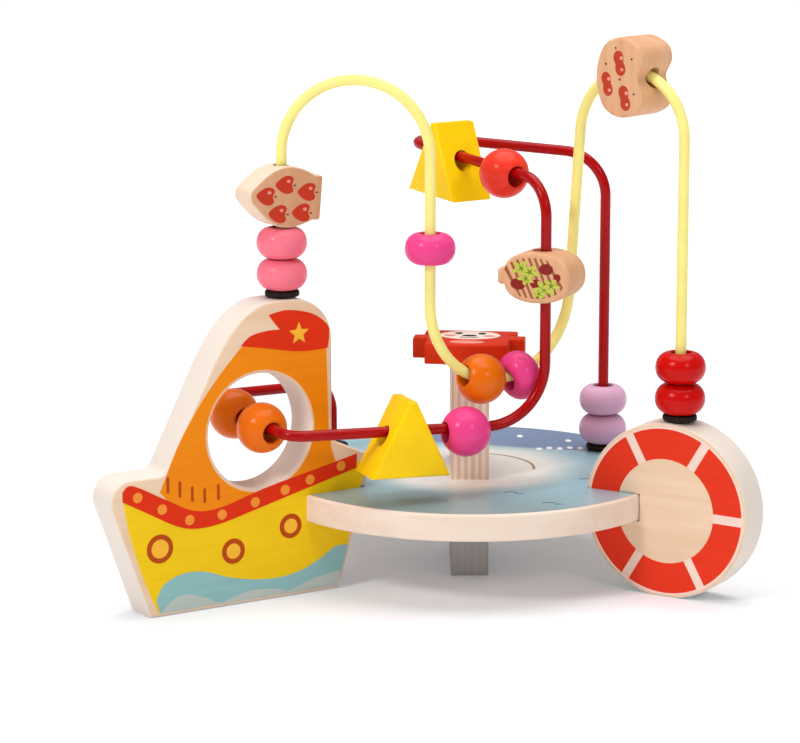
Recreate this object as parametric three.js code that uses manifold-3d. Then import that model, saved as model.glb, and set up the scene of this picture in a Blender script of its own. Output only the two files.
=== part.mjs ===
// Wooden bead maze. A round tray is held in the slots of two upright boards, a
// ship and a ring buoy, and stands on a third foot, a plank post that carries a
// small figure plate. Two bent wires run from board to board and from tray to
// tray, and eighteen beads slide along them.
//
// Millimetres, +Z up, floor at Z = 0. The origin is on the floor at the tray's
// axis. X runs to the right along the front of the toy and Y to the back.

import * as THREE from 'three';
import { mergeVertices } from 'three/addons/utils/BufferGeometryUtils.js';
import Module from 'manifold-3d';

const wasm = await Module();
wasm.setup();

// Fits and edges shared by all pieces
const FIT_GAP = 0.3;
const BOARD_THICKNESS = 15;
const EDGE_ROUND = 1.2;

// Tray
const TRAY_RADIUS = 75;
const TRAY_THICKNESS = 10;
const TRAY_TOP = 37;

// Boards: each stands along a line through the tray's axis, swung towards the front, with its front
// face this far before the line
const BOARD_FRONT = 6;
const SHIP_ANGLE = 32;
const RING_ANGLE = 31;

// Ship board: lengths run along the board, inwards or outwards from the tray's rim
const SHIP_HEIGHT = 110;
const BOW_FOOT_IN = 14.3;
const BOW_TIP_IN = 29;
const BOW_HEIGHT = 48.5;
const CABIN_IN = 11.5;
const DECK_HEIGHT = 55;
const CABIN_CORNER_RADIUS = 16;
const CABIN_TOP_OUT = 13;
const CABIN_SLOPE_TOP_OUT = 39.2;
const CABIN_SLOPE_TOP_HEIGHT = 86.9;
const CABIN_HEEL_OUT = 57.5;
const STERN_DECK_HEIGHT = 51.5;
const STERN_OUT = 79.5;
const STERN_RADIUS = 8;
const STERN_FOOT_OUT = 64.4;
const DECK_FILLET = 3;
const HOLE_RADIUS = 21.1;
const HOLE_OUT = 18.8;
const HOLE_HEIGHT = 63.2;
const SHIP_WIRE_OUT = 5.1;

// Ring buoy board
const RING_RADIUS = 32.5;
const RING_CENTRE_OUT = 10.6;
const RING_FOOT_FLAT = 10;
const RING_WIRE_OUT = 12.3;

// Post and figure plate
const POST_THICKNESS = 14;
const POST_DEPTH = 40;
const PLATE_TOP = 87.6;
const PLATE_THICKNESS = 8;
const PLATE_FRONT = 15.5;
const PLATE_BACK = 12;
const PLATE_FEET_WIDTH = 31;
const PLATE_ARMS_WIDTH = 42;
const PLATE_EARS_WIDTH = 35;
const PLATE_NECK_WIDTH = 28;
const PLATE_BELLY = 2;
const PLATE_ARM_FRONT = 4;
const PLATE_ARM_BACK = 2.5;
const PLATE_EAR_FRONT = 6;
const PLATE_TURN = -6;
const PIN_RADIUS = 3;
const PIN_LENGTH = 16;

// Wires and the rubber stoppers at their ends
const WIRE_DIAMETER = 4;
const WIRE_SOCKET_DEPTH = 8;
const STOPPER_DIAMETER = 12.6;
const STOPPER_HEIGHT = 2.2;

// Yellow wire: ship, round arch, leg, round dip, leg, round arch, ring
const YELLOW_TOP = 189;
const DIP_BOTTOM = 78.2;
const NEAR_LEG = [-15.3, -50];
const FAR_LEG_FOOT = [34.7, -15];
const FAR_LEG_HEAD = [41.5, -12];
const SECOND_ARCH_RISE = 1;

// Red wire: tray, loop at the back, front leg, front run, ship's hole, tray
const TRAY_WIRE_X = 52.5;
const TRAY_WIRE_Y = 31.5;
const LOOP_RIGHT_HEIGHT = 152;
const LOOP_LEFT = [-33.5, 56];
const LOOP_LEFT_RISE = 5.5;
const LOOP_FRONT = [26.8, -36];
const LOOP_FRONT_DROP = 1;
const FRONT_RUN_RIGHT_HEIGHT = 62;
const FRONT_RUN_LEFT_HEIGHT = 64.7;
const HOLE_RUN_FRONT = 27.5;
const HOLE_RUN_BACK = 32.5;
const BACK_RUN_HEIGHT = 69;
const BACK_RUN_DROP = 6;
const LOOP_RIGHT_BEND = 17;
const LOOP_LEFT_BEND = 11;
const LOOP_FRONT_BEND = 14;
const FRONT_RUN_BEND = 22;
const HOLE_FRONT_BEND = 8;
const HOLE_BACK_BEND = 9;
const BACK_RUN_BEND = 12;

// Beads
const BORE_DIAMETER = 7.5;
const BALL_DIAMETER = 18.4;
const DISC_DIAMETER = 18.4;
const DISC_LENGTH = 11.2;
const FISH_LENGTH = 29.6;
const FISH_HEIGHT = 22.4;
const FISH_THICKNESS = 12;
const FISH_TAIL = 3.2;
const LOAF_LENGTH = 28.5;
const LOAF_HEIGHT = 18.5;
const LOAF_THICKNESS = 16;
const LOAF_STUB_LENGTH = 2.5;
const LOAF_STUB_HEIGHT = 6;
const LOAF_TURN = -25;
const BEAN_WIDTH = 22;
const BEAN_HEIGHT = 29;
const BEAN_THICKNESS = 18;
const BEAN_WAIST = 3;
const WEDGE_BASE = 30;
const WEDGE_TOP = 3;
const WEDGE_HEIGHT = 27.5;
const WEDGE_THICKNESS = 18;
const WEDGE_BORE_HEIGHT = 14;

// Where the free beads rest: heights, distances along a run, or angles on a bend
const LEG_BEAD_HEIGHT = 128.8;
const LOAF_REST_HEIGHT = 117;
const DIP_BALL_ANGLE = 14.2;
const DIP_DISC_ANGLE = 14.2;
const LOOP_WEDGE_ALONG = 19;
const LOOP_BALL_ALONG = 54;
const FRONT_BALL_ALONG = 8.5;
const FRONT_WEDGE_ALONG = 32.5;
const HOLE_FRONT_BALL = 7;
const HOLE_BACK_BALL = -13.4;

// Smoothness of round forms
const CURVE_STEPS = 8;
const BEAD_SIDES = 20;
const BORE_SIDES = 20;
const WIRE_SIDES = 10;
const BEND_STEP = 15;
const ARC_STEP = 7.5;

// Colours
const WOOD = 0xe8c9a4;
const COLOURS = {
  wood: WOOD, yellow: 0xf6c915, wireYellow: 0xf2df6a, wireRed: 0xb3121a, black: 0x1c1615,
  pink: 0xf2708f, magenta: 0xdc2f8e, orange: 0xee7a12, red: 0xd8232c, lilac: 0xcf9fd8, coral: 0xdc3a1c,
};

const degrees = THREE.MathUtils.degToRad;
const vector = (x, y, z) => new THREE.Vector3(x, y, z);
const toy = new THREE.Group();

// Solids: a closed mesh goes to a manifold for cutting and comes back as a mesh
function toSolid(geometry) {
  const bare = geometry.index ? geometry.toNonIndexed() : geometry.clone();
  bare.deleteAttribute('normal');
  bare.deleteAttribute('uv');
  const merged = mergeVertices(bare, 1e-4);
  return new wasm.Manifold(new wasm.Mesh({
    numProp: 3,
    vertProperties: new Float32Array(merged.attributes.position.array),
    triVerts: new Uint32Array(merged.index.array),
  }));
}

function toGeometry(solid) {
  const mesh = solid.getMesh();
  const geometry = new THREE.BufferGeometry();
  geometry.setAttribute('position', new THREE.BufferAttribute(new Float32Array(mesh.vertProperties), 3));
  geometry.setIndex(new THREE.BufferAttribute(new Uint32Array(mesh.triVerts), 1));
  const flat = geometry.toNonIndexed();
  flat.computeVertexNormals();
  return flat;
}

function cut(geometry, ...tools) {
  return toGeometry(tools.reduce((solid, tool) => solid.subtract(toSolid(tool)), toSolid(geometry)));
}

function addPiece(name, geometry, colour, { roughness = 0.55, metalness = 0 } = {}) {
  const material = new THREE.MeshStandardMaterial({ color: colour, roughness, metalness });
  const mesh = new THREE.Mesh(geometry, material);
  mesh.name = name;
  toy.add(mesh);
  return mesh;
}

// A board cut to an outline, with rounded arrises, standing on edge: the outline's
// x runs along the board, its y is the height, and its front face looks to -Y
function uprightBoard(outline, thickness, round = EDGE_ROUND) {
  const geometry = new THREE.ExtrudeGeometry(outline, {
    depth: thickness - 2 * round,
    curveSegments: CURVE_STEPS,
    bevelThickness: round,
    bevelSize: round,
    bevelOffset: -round,
    bevelSegments: 2,
  });
  geometry.translate(0, 0, round - thickness / 2);
  return geometry.rotateX(Math.PI / 2);
}

function box(sizeX, sizeY, sizeZ, x, y, z) {
  return new THREE.BoxGeometry(sizeX, sizeY, sizeZ).translate(x, y, z);
}

// A round bar along a direction, centred on a point. Its flats lie on the stated radius.
function bar(radius, length, centre, direction, sides = BORE_SIDES) {
  const reach = radius / Math.cos(Math.PI / sides);
  const geometry = new THREE.CylinderGeometry(reach, reach, length, sides);
  const turn = new THREE.Quaternion().setFromUnitVectors(vector(0, 1, 0), direction);
  return geometry.applyQuaternion(turn).translate(centre.x, centre.y, centre.z);
}

// A round corner of an outline, in even steps
function arc(path, x, y, radius, from, to) {
  const steps = Math.ceil(Math.abs(to - from) / degrees(ARC_STEP));
  for (let i = 0; i <= steps; i += 1) {
    const angle = from + (to - from) * i / steps;
    path.lineTo(x + radius * Math.cos(angle), y + radius * Math.sin(angle));
  }
}

// A round path, in even steps, for an outline of its own or a hole in one
function round(path, x, y, radius, from = 0, to = 2 * Math.PI) {
  path.moveTo(x + radius * Math.cos(from), y + radius * Math.sin(from));
  const last = to - from < 2 * Math.PI ? to : to - degrees(ARC_STEP);
  arc(path, x, y, radius, from + degrees(ARC_STEP), last);
}

// A smooth closed outline through hand-picked points
function roundOutline(points, steps) {
  const curve = new THREE.CatmullRomCurve3(points.map(([x, y]) => vector(x, y, 0)), true, 'centripetal');
  const spaced = curve.getSpacedPoints(steps);
  return new THREE.Shape(spaced.slice(0, -1).map((point) => new THREE.Vector2(point.x, point.y)));
}

// Places on the boards
const shipTurn = degrees(SHIP_ANGLE);
const ringTurn = degrees(-RING_ANGLE);
const shipAlong = vector(-Math.cos(shipTurn), -Math.sin(shipTurn), 0);
const shipBack = vector(-Math.sin(shipTurn), Math.cos(shipTurn), 0);
const ringAlong = vector(Math.cos(ringTurn), Math.sin(ringTurn), 0);
const ringBack = vector(-Math.sin(ringTurn), Math.cos(ringTurn), 0);
const boardMiddle = BOARD_THICKNESS / 2 - BOARD_FRONT;
const boardPoint = (along, back, out, height) => along.clone().multiplyScalar(TRAY_RADIUS + out)
  .addScaledVector(back, boardMiddle).setZ(height);
const shipPoint = (out, height) => boardPoint(shipAlong, shipBack, out, height);
const ringPoint = (out, height) => boardPoint(ringAlong, ringBack, out, height);
const ringCentreHeight = Math.sqrt(RING_RADIUS ** 2 - (RING_FOOT_FLAT / 2) ** 2);
const ringTop = ringCentreHeight + RING_RADIUS;
const wireRadius = WIRE_DIAMETER / 2;
const boreRadius = BORE_DIAMETER / 2;
const trayFloor = TRAY_TOP - TRAY_THICKNESS;

// Bent wires: straight runs joined by round bends at the corners
function bendWire(corners, bendRadii) {
  const runs = [];
  const bends = [];
  const stations = [{ point: corners[0].clone(), tangent: corners[1].clone().sub(corners[0]).normalize() }];
  let start = corners[0].clone();
  for (let i = 1; i < corners.length - 1; i += 1) {
    const inward = corners[i].clone().sub(corners[i - 1]).normalize();
    const outward = corners[i + 1].clone().sub(corners[i]).normalize();
    const angle = inward.angleTo(outward);
    const radius = bendRadii[i - 1];
    const setback = radius * Math.tan(angle / 2);
    const bendStart = corners[i].clone().addScaledVector(inward, -setback);
    const bendEnd = corners[i].clone().addScaledVector(outward, setback);
    const axis = inward.clone().cross(outward).normalize();
    const centre = bendStart.clone().addScaledVector(axis.clone().cross(inward), radius);
    runs.push({ start, end: bendStart, direction: inward, length: bendStart.distanceTo(start) });
    bends.push({ centre, axis, radius, angle, start: bendStart, inward });
    const steps = Math.max(2, Math.ceil(THREE.MathUtils.radToDeg(angle) / BEND_STEP));
    for (let step = 0; step <= steps; step += 1) {
      const turned = angle * step / steps;
      const point = bendStart.clone().sub(centre).applyAxisAngle(axis, turned).add(centre);
      stations.push({ point, tangent: inward.clone().applyAxisAngle(axis, turned) });
    }
    start = bendEnd;
  }
  const last = corners[corners.length - 1];
  const direction = last.clone().sub(start).normalize();
  runs.push({ start, end: last, direction, length: last.distanceTo(start) });
  stations.push({ point: last.clone(), tangent: direction });
  const spaced = stations.filter((item, i) => i === 0 || item.point.distanceTo(stations[i - 1].point) > 0.05);
  return { runs, bends, stations: spaced };
}

// The wire's centre line, met once at each station
class WireCurve extends THREE.Curve {
  constructor(stations) {
    super();
    this.stations = stations;
  }

  stationAt(u) {
    return this.stations[Math.round(u * (this.stations.length - 1))];
  }

  getPointAt(u, target = vector(0, 0, 0)) {
    return target.copy(this.stationAt(u).point);
  }

  getTangentAt(u, target = vector(0, 0, 0)) {
    return target.copy(this.stationAt(u).tangent);
  }
}

function wireGeometry(wire) {
  const section = new THREE.Shape();
  for (let i = 0; i < WIRE_SIDES; i += 1) {
    const angle = 2 * Math.PI * i / WIRE_SIDES;
    const [x, y] = [wireRadius * Math.cos(angle), wireRadius * Math.sin(angle)];
    if (i === 0) section.moveTo(x, y);
    else section.lineTo(x, y);
  }
  return new THREE.ExtrudeGeometry(section, {
    steps: wire.stations.length - 1,
    extrudePath: new WireCurve(wire.stations),
  });
}

const yellowStart = shipPoint(SHIP_WIRE_OUT, SHIP_HEIGHT - WIRE_SOCKET_DEPTH);
const yellowEnd = ringPoint(RING_WIRE_OUT, ringTop - WIRE_SOCKET_DEPTH);
const secondArchTop = YELLOW_TOP + SECOND_ARCH_RISE;
const nearLegTop = vector(...NEAR_LEG, YELLOW_TOP);
const nearLegFoot = vector(...NEAR_LEG, DIP_BOTTOM);
const farLegFoot = vector(...FAR_LEG_FOOT, DIP_BOTTOM);
const farLegTop = vector(...FAR_LEG_HEAD, secondArchTop);
const yellowCorners = [
  yellowStart, yellowStart.clone().setZ(YELLOW_TOP), nearLegTop, nearLegFoot,
  farLegFoot, farLegTop, yellowEnd.clone().setZ(secondArchTop), yellowEnd,
];
// Arches and the dip are as round as their span allows
const ROUND_SHARE = 0.5;
const firstArch = ROUND_SHARE * yellowCorners[1].distanceTo(yellowCorners[2]);
const dipRound = ROUND_SHARE * yellowCorners[3].distanceTo(yellowCorners[4]);
const secondArch = ROUND_SHARE * yellowCorners[5].distanceTo(yellowCorners[6]);
const yellow = bendWire(yellowCorners, [firstArch, firstArch, dipRound, dipRound, secondArch, secondArch]);

const redStart = vector(TRAY_WIRE_X, TRAY_WIRE_Y, TRAY_TOP - WIRE_SOCKET_DEPTH);
const redEnd = vector(-TRAY_WIRE_X, TRAY_WIRE_Y, TRAY_TOP - WIRE_SOCKET_DEPTH);
const holeRun = (back, height) => shipPoint(HOLE_OUT, height).addScaledVector(shipBack, back);
const red = bendWire([
  redStart,
  redStart.clone().setZ(LOOP_RIGHT_HEIGHT),
  vector(...LOOP_LEFT, LOOP_RIGHT_HEIGHT + LOOP_LEFT_RISE),
  vector(...LOOP_FRONT, LOOP_RIGHT_HEIGHT - LOOP_FRONT_DROP),
  vector(...LOOP_FRONT, FRONT_RUN_RIGHT_HEIGHT),
  holeRun(-HOLE_RUN_FRONT, FRONT_RUN_LEFT_HEIGHT),
  holeRun(HOLE_RUN_BACK, BACK_RUN_HEIGHT),
  redEnd.clone().setZ(BACK_RUN_HEIGHT - BACK_RUN_DROP),
  redEnd,
], [
  LOOP_RIGHT_BEND, LOOP_LEFT_BEND, LOOP_FRONT_BEND, FRONT_RUN_BEND,
  HOLE_FRONT_BEND, HOLE_BACK_BEND, BACK_RUN_BEND,
]);
addPiece('yellow_wire', wireGeometry(yellow), COLOURS.wireYellow, { roughness: 0.35, metalness: 0.1 });
addPiece('red_wire', wireGeometry(red), COLOURS.wireRed, { roughness: 0.3, metalness: 0.1 });

// Sockets drilled for the wire ends, open upwards
const socket = (end) => bar(
  wireRadius + FIT_GAP,
  2 * (WIRE_SOCKET_DEPTH + FIT_GAP),
  end.clone().setZ(end.z + WIRE_SOCKET_DEPTH),
  vector(0, 0, 1),
);

// Ship board
function shipOutline() {
  const outline = new THREE.Shape();
  const cabinCornerHeight = SHIP_HEIGHT - CABIN_CORNER_RADIUS;
  const slopeRun = (CABIN_HEEL_OUT - CABIN_SLOPE_TOP_OUT) / (CABIN_SLOPE_TOP_HEIGHT - STERN_DECK_HEIGHT);
  const slopeOut = (height) => CABIN_SLOPE_TOP_OUT + (CABIN_SLOPE_TOP_HEIGHT - height) * slopeRun;
  const heelTop = STERN_DECK_HEIGHT + DECK_FILLET;
  const sternLean = Math.atan2(STERN_OUT - STERN_FOOT_OUT, STERN_DECK_HEIGHT - STERN_RADIUS);
  const sternTurn = vector(-STERN_OUT + STERN_RADIUS, STERN_DECK_HEIGHT - STERN_RADIUS, 0);
  outline.moveTo(BOW_FOOT_IN, 0);
  outline.lineTo(BOW_TIP_IN, BOW_HEIGHT);
  outline.lineTo(CABIN_IN + DECK_FILLET, DECK_HEIGHT);
  outline.quadraticCurveTo(CABIN_IN, DECK_HEIGHT + 1, CABIN_IN, DECK_HEIGHT + DECK_FILLET + 1);
  arc(outline, CABIN_IN - CABIN_CORNER_RADIUS, cabinCornerHeight, CABIN_CORNER_RADIUS, 0, Math.PI / 2);
  outline.lineTo(-CABIN_TOP_OUT, SHIP_HEIGHT);
  outline.quadraticCurveTo(
    -slopeOut(SHIP_HEIGHT), SHIP_HEIGHT, -CABIN_SLOPE_TOP_OUT, CABIN_SLOPE_TOP_HEIGHT,
  );
  outline.lineTo(-slopeOut(heelTop), heelTop);
  outline.quadraticCurveTo(
    -CABIN_HEEL_OUT, STERN_DECK_HEIGHT, -CABIN_HEEL_OUT - DECK_FILLET, STERN_DECK_HEIGHT,
  );
  arc(outline, sternTurn.x, sternTurn.y, STERN_RADIUS, Math.PI / 2, Math.PI + sternLean);
  outline.lineTo(-STERN_FOOT_OUT, 0);
  const hole = new THREE.Path();
  round(hole, -HOLE_OUT, HOLE_HEIGHT, HOLE_RADIUS);
  outline.holes.push(hole);
  return outline;
}

// A slot cut from a board's inner edge, as deep as the tray's rim reaches into it
const slotHeight = TRAY_THICKNESS + 2 * FIT_GAP;
const slotReach = 2 * TRAY_RADIUS;
const slotMiddle = TRAY_TOP - TRAY_THICKNESS / 2;

function slottedBoard(outline, inward) {
  const board = uprightBoard(outline, BOARD_THICKNESS);
  const slot = box(slotReach, 2 * BOARD_THICKNESS, slotHeight, inward * (slotReach / 2 - FIT_GAP), 0, slotMiddle);
  return cut(board, slot);
}

function placeBoard(geometry, rim, turn) {
  return geometry.rotateZ(turn).translate(rim.x, rim.y, 0);
}

const shipBoard = placeBoard(slottedBoard(shipOutline(), 1), shipPoint(0, 0), shipTurn);
addPiece('ship_panel', cut(shipBoard, socket(yellowStart)), COLOURS.wood);

// Ring buoy board, with a short flat to stand on
function ringOutline() {
  const outline = new THREE.Shape();
  const half = Math.asin(RING_FOOT_FLAT / 2 / RING_RADIUS);
  round(outline, RING_CENTRE_OUT, ringCentreHeight, RING_RADIUS, half - Math.PI / 2, 1.5 * Math.PI - half);
  return outline;
}

const ringBoard = placeBoard(slottedBoard(ringOutline(), -1), ringPoint(0, 0), ringTurn);
addPiece('ring_buoy_panel', cut(ringBoard, socket(yellowEnd)), COLOURS.wood);

// Tray: a round board with a rounded rim, slotted for the post and drilled for the wires
const TRAY_SIDES = 72;

function trayGeometry() {
  const rimCorner = (turn, height, sign) => {
    const angle = turn * Math.PI / 2;
    return new THREE.Vector2(
      TRAY_RADIUS - EDGE_ROUND + EDGE_ROUND * Math.sin(angle),
      height + sign * EDGE_ROUND * (1 - Math.cos(angle)),
    );
  };
  const profile = [
    new THREE.Vector2(0, trayFloor),
    rimCorner(0, trayFloor, 1), rimCorner(0.5, trayFloor, 1), rimCorner(1, trayFloor, 1),
    rimCorner(1, TRAY_TOP, -1), rimCorner(0.5, TRAY_TOP, -1), rimCorner(0, TRAY_TOP, -1),
    new THREE.Vector2(0, TRAY_TOP),
  ];
  return new THREE.LatheGeometry(profile, TRAY_SIDES).rotateX(Math.PI / 2);
}

const postSlot = box(
  POST_THICKNESS + 2 * FIT_GAP, POST_DEPTH + 2 * FIT_GAP, 3 * TRAY_THICKNESS, 0, 0, slotMiddle,
);
addPiece('tray', cut(trayGeometry(), postSlot, socket(redStart), socket(redEnd)), COLOURS.wood);

// Post: a plank on end through the tray, with a blind hole for the plate's pin
const postTop = PLATE_TOP - PLATE_THICKNESS - FIT_GAP;
const pinMiddle = postTop + FIT_GAP / 2;
const pinHole = bar(PIN_RADIUS + FIT_GAP, PIN_LENGTH + 2 * FIT_GAP, vector(0, 0, pinMiddle), vector(0, 0, 1));

function plankOutline(width, depth) {
  const outline = new THREE.Shape();
  const [x, y] = [width / 2, depth / 2];
  outline.moveTo(-x, -y).lineTo(x, -y).lineTo(x, y).lineTo(-x, y);
  return outline;
}

const POST_ARRIS = 0.6;
const plank = new THREE.ExtrudeGeometry(plankOutline(POST_THICKNESS, POST_DEPTH), {
  depth: postTop - 2 * POST_ARRIS,
  bevelThickness: POST_ARRIS,
  bevelSize: POST_ARRIS,
  bevelOffset: -POST_ARRIS,
  bevelSegments: 1,
}).translate(0, 0, POST_ARRIS);
addPiece('centre_post', cut(plank, pinHole), COLOURS.wood);

// Figure plate: two feet with a round belly between them, stretched arms, and a head with square ears
function plateOutline() {
  const outline = new THREE.Shape();
  const widths = [PLATE_FEET_WIDTH, PLATE_ARMS_WIDTH, PLATE_NECK_WIDTH, PLATE_EARS_WIDTH];
  const [feet, arms, neck, ears] = widths.map((width) => width / 2);
  const belly = feet - 6;
  const neckMiddle = (PLATE_ARM_BACK + PLATE_EAR_FRONT) / 2;
  outline.moveTo(-feet, -PLATE_FRONT);
  outline.lineTo(-belly, -PLATE_FRONT);
  outline.quadraticCurveTo(0, -PLATE_FRONT - 2 * PLATE_BELLY, belly, -PLATE_FRONT);
  outline.lineTo(feet, -PLATE_FRONT);
  outline.lineTo(feet, -PLATE_ARM_FRONT);
  outline.lineTo(arms, -PLATE_ARM_FRONT);
  outline.lineTo(arms, PLATE_ARM_BACK);
  outline.quadraticCurveTo(neck, PLATE_ARM_BACK, neck, neckMiddle);
  outline.quadraticCurveTo(neck, PLATE_EAR_FRONT, ears, PLATE_EAR_FRONT);
  outline.lineTo(ears, PLATE_BACK);
  outline.lineTo(-ears, PLATE_BACK);
  outline.lineTo(-ears, PLATE_EAR_FRONT);
  outline.quadraticCurveTo(-neck, PLATE_EAR_FRONT, -neck, neckMiddle);
  outline.quadraticCurveTo(-neck, PLATE_ARM_BACK, -arms, PLATE_ARM_BACK);
  outline.lineTo(-arms, -PLATE_ARM_FRONT);
  outline.lineTo(-feet, -PLATE_ARM_FRONT);
  return outline;
}

const PLATE_ARRIS = 0.8;
const plate = new THREE.ExtrudeGeometry(plateOutline(), {
  depth: PLATE_THICKNESS - 2 * PLATE_ARRIS,
  curveSegments: CURVE_STEPS,
  bevelThickness: PLATE_ARRIS,
  bevelSize: PLATE_ARRIS,
  bevelOffset: -PLATE_ARRIS,
  bevelSegments: 2,
}).rotateZ(degrees(PLATE_TURN)).translate(0, 0, PLATE_TOP - PLATE_THICKNESS + PLATE_ARRIS);
addPiece('figure_plate', cut(plate, pinHole), COLOURS.coral);
const pin = bar(PIN_RADIUS, PIN_LENGTH, vector(0, 0, pinMiddle), vector(0, 0, 1));
addPiece('plate_pin', pin, COLOURS.wood);

// Rubber stoppers: a soft ring on the board round each wire end
function ringProfile(inner, outer, length, corner) {
  const half = length / 2;
  return [
    [inner, -half], [outer - corner, -half], [outer - 0.3 * corner, -half + 0.3 * corner],
    [outer, -half + corner], [outer, half - corner], [outer - 0.3 * corner, half - 0.3 * corner],
    [outer - corner, half], [inner, half], [inner, -half],
  ].map(([x, y]) => new THREE.Vector2(x, y));
}

const STOPPER_CORNER = 0.7;

function addStopper(name, wireEnd) {
  const profile = ringProfile(wireRadius + FIT_GAP, STOPPER_DIAMETER / 2, STOPPER_HEIGHT, STOPPER_CORNER);
  const geometry = new THREE.LatheGeometry(profile, BORE_SIDES).rotateX(Math.PI / 2);
  const seat = wireEnd.z + WIRE_SOCKET_DEPTH + FIT_GAP;
  geometry.translate(wireEnd.x, wireEnd.y, seat + STOPPER_HEIGHT / 2);
  addPiece(name, geometry, COLOURS.black, { roughness: 0.7 });
  return seat + STOPPER_HEIGHT + FIT_GAP;
}

const shipStackFoot = addStopper('stopper_ship', yellowStart);
const ringStackFoot = addStopper('stopper_ring', yellowEnd);
const trayStackFoot = addStopper('stopper_tray_right', redStart);
addStopper('stopper_tray_left', redEnd);

// Turned beads, bored along their axis: balls, and flat discs with round sides
const BORE_LIP = 0.6;

function turnedBead(halfLength, outline) {
  const points = [[boreRadius, halfLength - BORE_LIP], [boreRadius, BORE_LIP - halfLength], ...outline];
  points.push(points[0]);
  const profile = points.map(([x, y]) => new THREE.Vector2(x, y));
  return new THREE.LatheGeometry(profile, BEAD_SIDES).rotateX(Math.PI / 2);
}

const BEAD_STEPS = 8;
const ballRadius = BALL_DIAMETER / 2;
const ballHalf = Math.sqrt(ballRadius ** 2 - (boreRadius + BORE_LIP) ** 2);

function ballBead() {
  const lipAngle = Math.asin(ballHalf / ballRadius);
  const outline = [];
  for (let i = 0; i <= BEAD_STEPS; i += 1) {
    const angle = lipAngle * (2 * i / BEAD_STEPS - 1);
    outline.push([ballRadius * Math.cos(angle), ballRadius * Math.sin(angle)]);
  }
  return turnedBead(ballHalf, outline);
}

function discBead() {
  const half = DISC_LENGTH / 2;
  const faceRadius = boreRadius + BORE_LIP;
  const bulge = DISC_DIAMETER / 2 - faceRadius;
  const outline = [];
  for (let i = 0; i <= BEAD_STEPS; i += 1) {
    const angle = Math.PI * (i / BEAD_STEPS - 0.5);
    outline.push([faceRadius + bulge * Math.cos(angle), half * Math.sin(angle)]);
  }
  return turnedBead(half, outline);
}

// Shaped beads are sawn from board to an outline and bored through
const BEAD_ARRIS = 0.8;

function sawnBead(outline, thickness, boreCentre, boreDirection) {
  const board = uprightBoard(outline, thickness, BEAD_ARRIS);
  const bore = bar(boreRadius, 4 * FISH_LENGTH, boreCentre, boreDirection);
  return cut(board, bore);
}

// Fish: a pointed oval with a short square tail, bored upright through its middle
function fishBead() {
  const outline = new THREE.Shape();
  const [length, half] = [FISH_LENGTH, FISH_HEIGHT / 2];
  const nose = -0.545 * length;
  const tail = nose + length;
  const bodyEnd = tail - FISH_TAIL;
  const tailHalf = 0.7 * half;
  outline.moveTo(nose, 0.6);
  outline.quadraticCurveTo(nose + 1.2, 0, nose, -0.6);
  outline.bezierCurveTo(nose + 0.2 * length, -half, bodyEnd - 0.45 * length, -1.3 * half, bodyEnd, -tailHalf);
  outline.lineTo(tail, -tailHalf);
  outline.lineTo(tail, tailHalf);
  outline.lineTo(bodyEnd, tailHalf);
  outline.bezierCurveTo(bodyEnd - 0.45 * length, 1.3 * half, nose + 0.2 * length, half, nose, 0.6);
  return sawnBead(outline, FISH_THICKNESS, vector(0, 0, 0), vector(0, 0, 1));
}

// Loaf: a rounded block with a small stub at one end, bored upright
function loafBead() {
  const [x, y] = [LOAF_LENGTH / 2, LOAF_HEIGHT / 2];
  const stub = LOAF_STUB_HEIGHT / 2;
  const outline = new THREE.Shape();
  const shoulder = -x + LOAF_STUB_LENGTH;
  outline.moveTo(-x, -stub + 0.8);
  outline.lineTo(-x + 0.8, -stub);
  outline.lineTo(shoulder, -stub);
  outline.bezierCurveTo(shoulder + 1, -0.8 * y, -0.4 * x, -y, 0, -y);
  outline.bezierCurveTo(0.6 * x, -y, x, -0.7 * y, x, 0);
  outline.bezierCurveTo(x, 0.7 * y, 0.6 * x, y, 0, y);
  outline.bezierCurveTo(-0.4 * x, y, shoulder + 1, 0.8 * y, shoulder, stub);
  outline.lineTo(-x + 0.8, stub);
  outline.lineTo(-x, stub - 0.8);
  return sawnBead(outline, LOAF_THICKNESS, vector(0, 0, 0), vector(0, 0, 1));
}

// Bean: a kidney with its hollow on one long side, bored across the waist
function beanBead() {
  const [x, y] = [BEAN_WIDTH / 2, BEAN_HEIGHT / 2];
  const waist = x - BEAN_WAIST;
  const outline = roundOutline([
    [waist, 0], [x - 0.4, -0.42 * y], [0.78 * x, -0.8 * y], [0, -y], [-0.72 * x, -0.74 * y],
    [-x, 0], [-0.72 * x, 0.74 * y], [0, y], [0.78 * x, 0.8 * y], [x - 0.4, 0.42 * y],
  ], 6 * CURVE_STEPS);
  return sawnBead(outline, BEAN_THICKNESS, vector(0, 0, 0), vector(1, 0, 0));
}

// Wedge: a steep roof-shaped block, bored along its base direction
function wedgeBead() {
  const outline = new THREE.Shape();
  const foot = -WEDGE_BORE_HEIGHT;
  const head = WEDGE_HEIGHT - WEDGE_BORE_HEIGHT;
  outline.moveTo(-WEDGE_BASE / 2, foot);
  outline.lineTo(WEDGE_BASE / 2, foot);
  outline.lineTo(WEDGE_TOP / 2, head);
  outline.lineTo(-WEDGE_TOP / 2, head);
  return sawnBead(outline, WEDGE_THICKNESS, vector(0, 0, 0), vector(1, 0, 0));
}

// Seats: a bead hangs with the top of its bore on the wire, or leans on an upright wire
const bearing = boreRadius - wireRadius - FIT_GAP;
const up = vector(0, 0, 1);

function addBead(name, geometry, colour, place, frame, roughness = 0.3) {
  const bead = addPiece(name, geometry, colour, { roughness });
  bead.quaternion.setFromRotationMatrix(frame);
  bead.position.copy(place);
  return bead;
}

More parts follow.
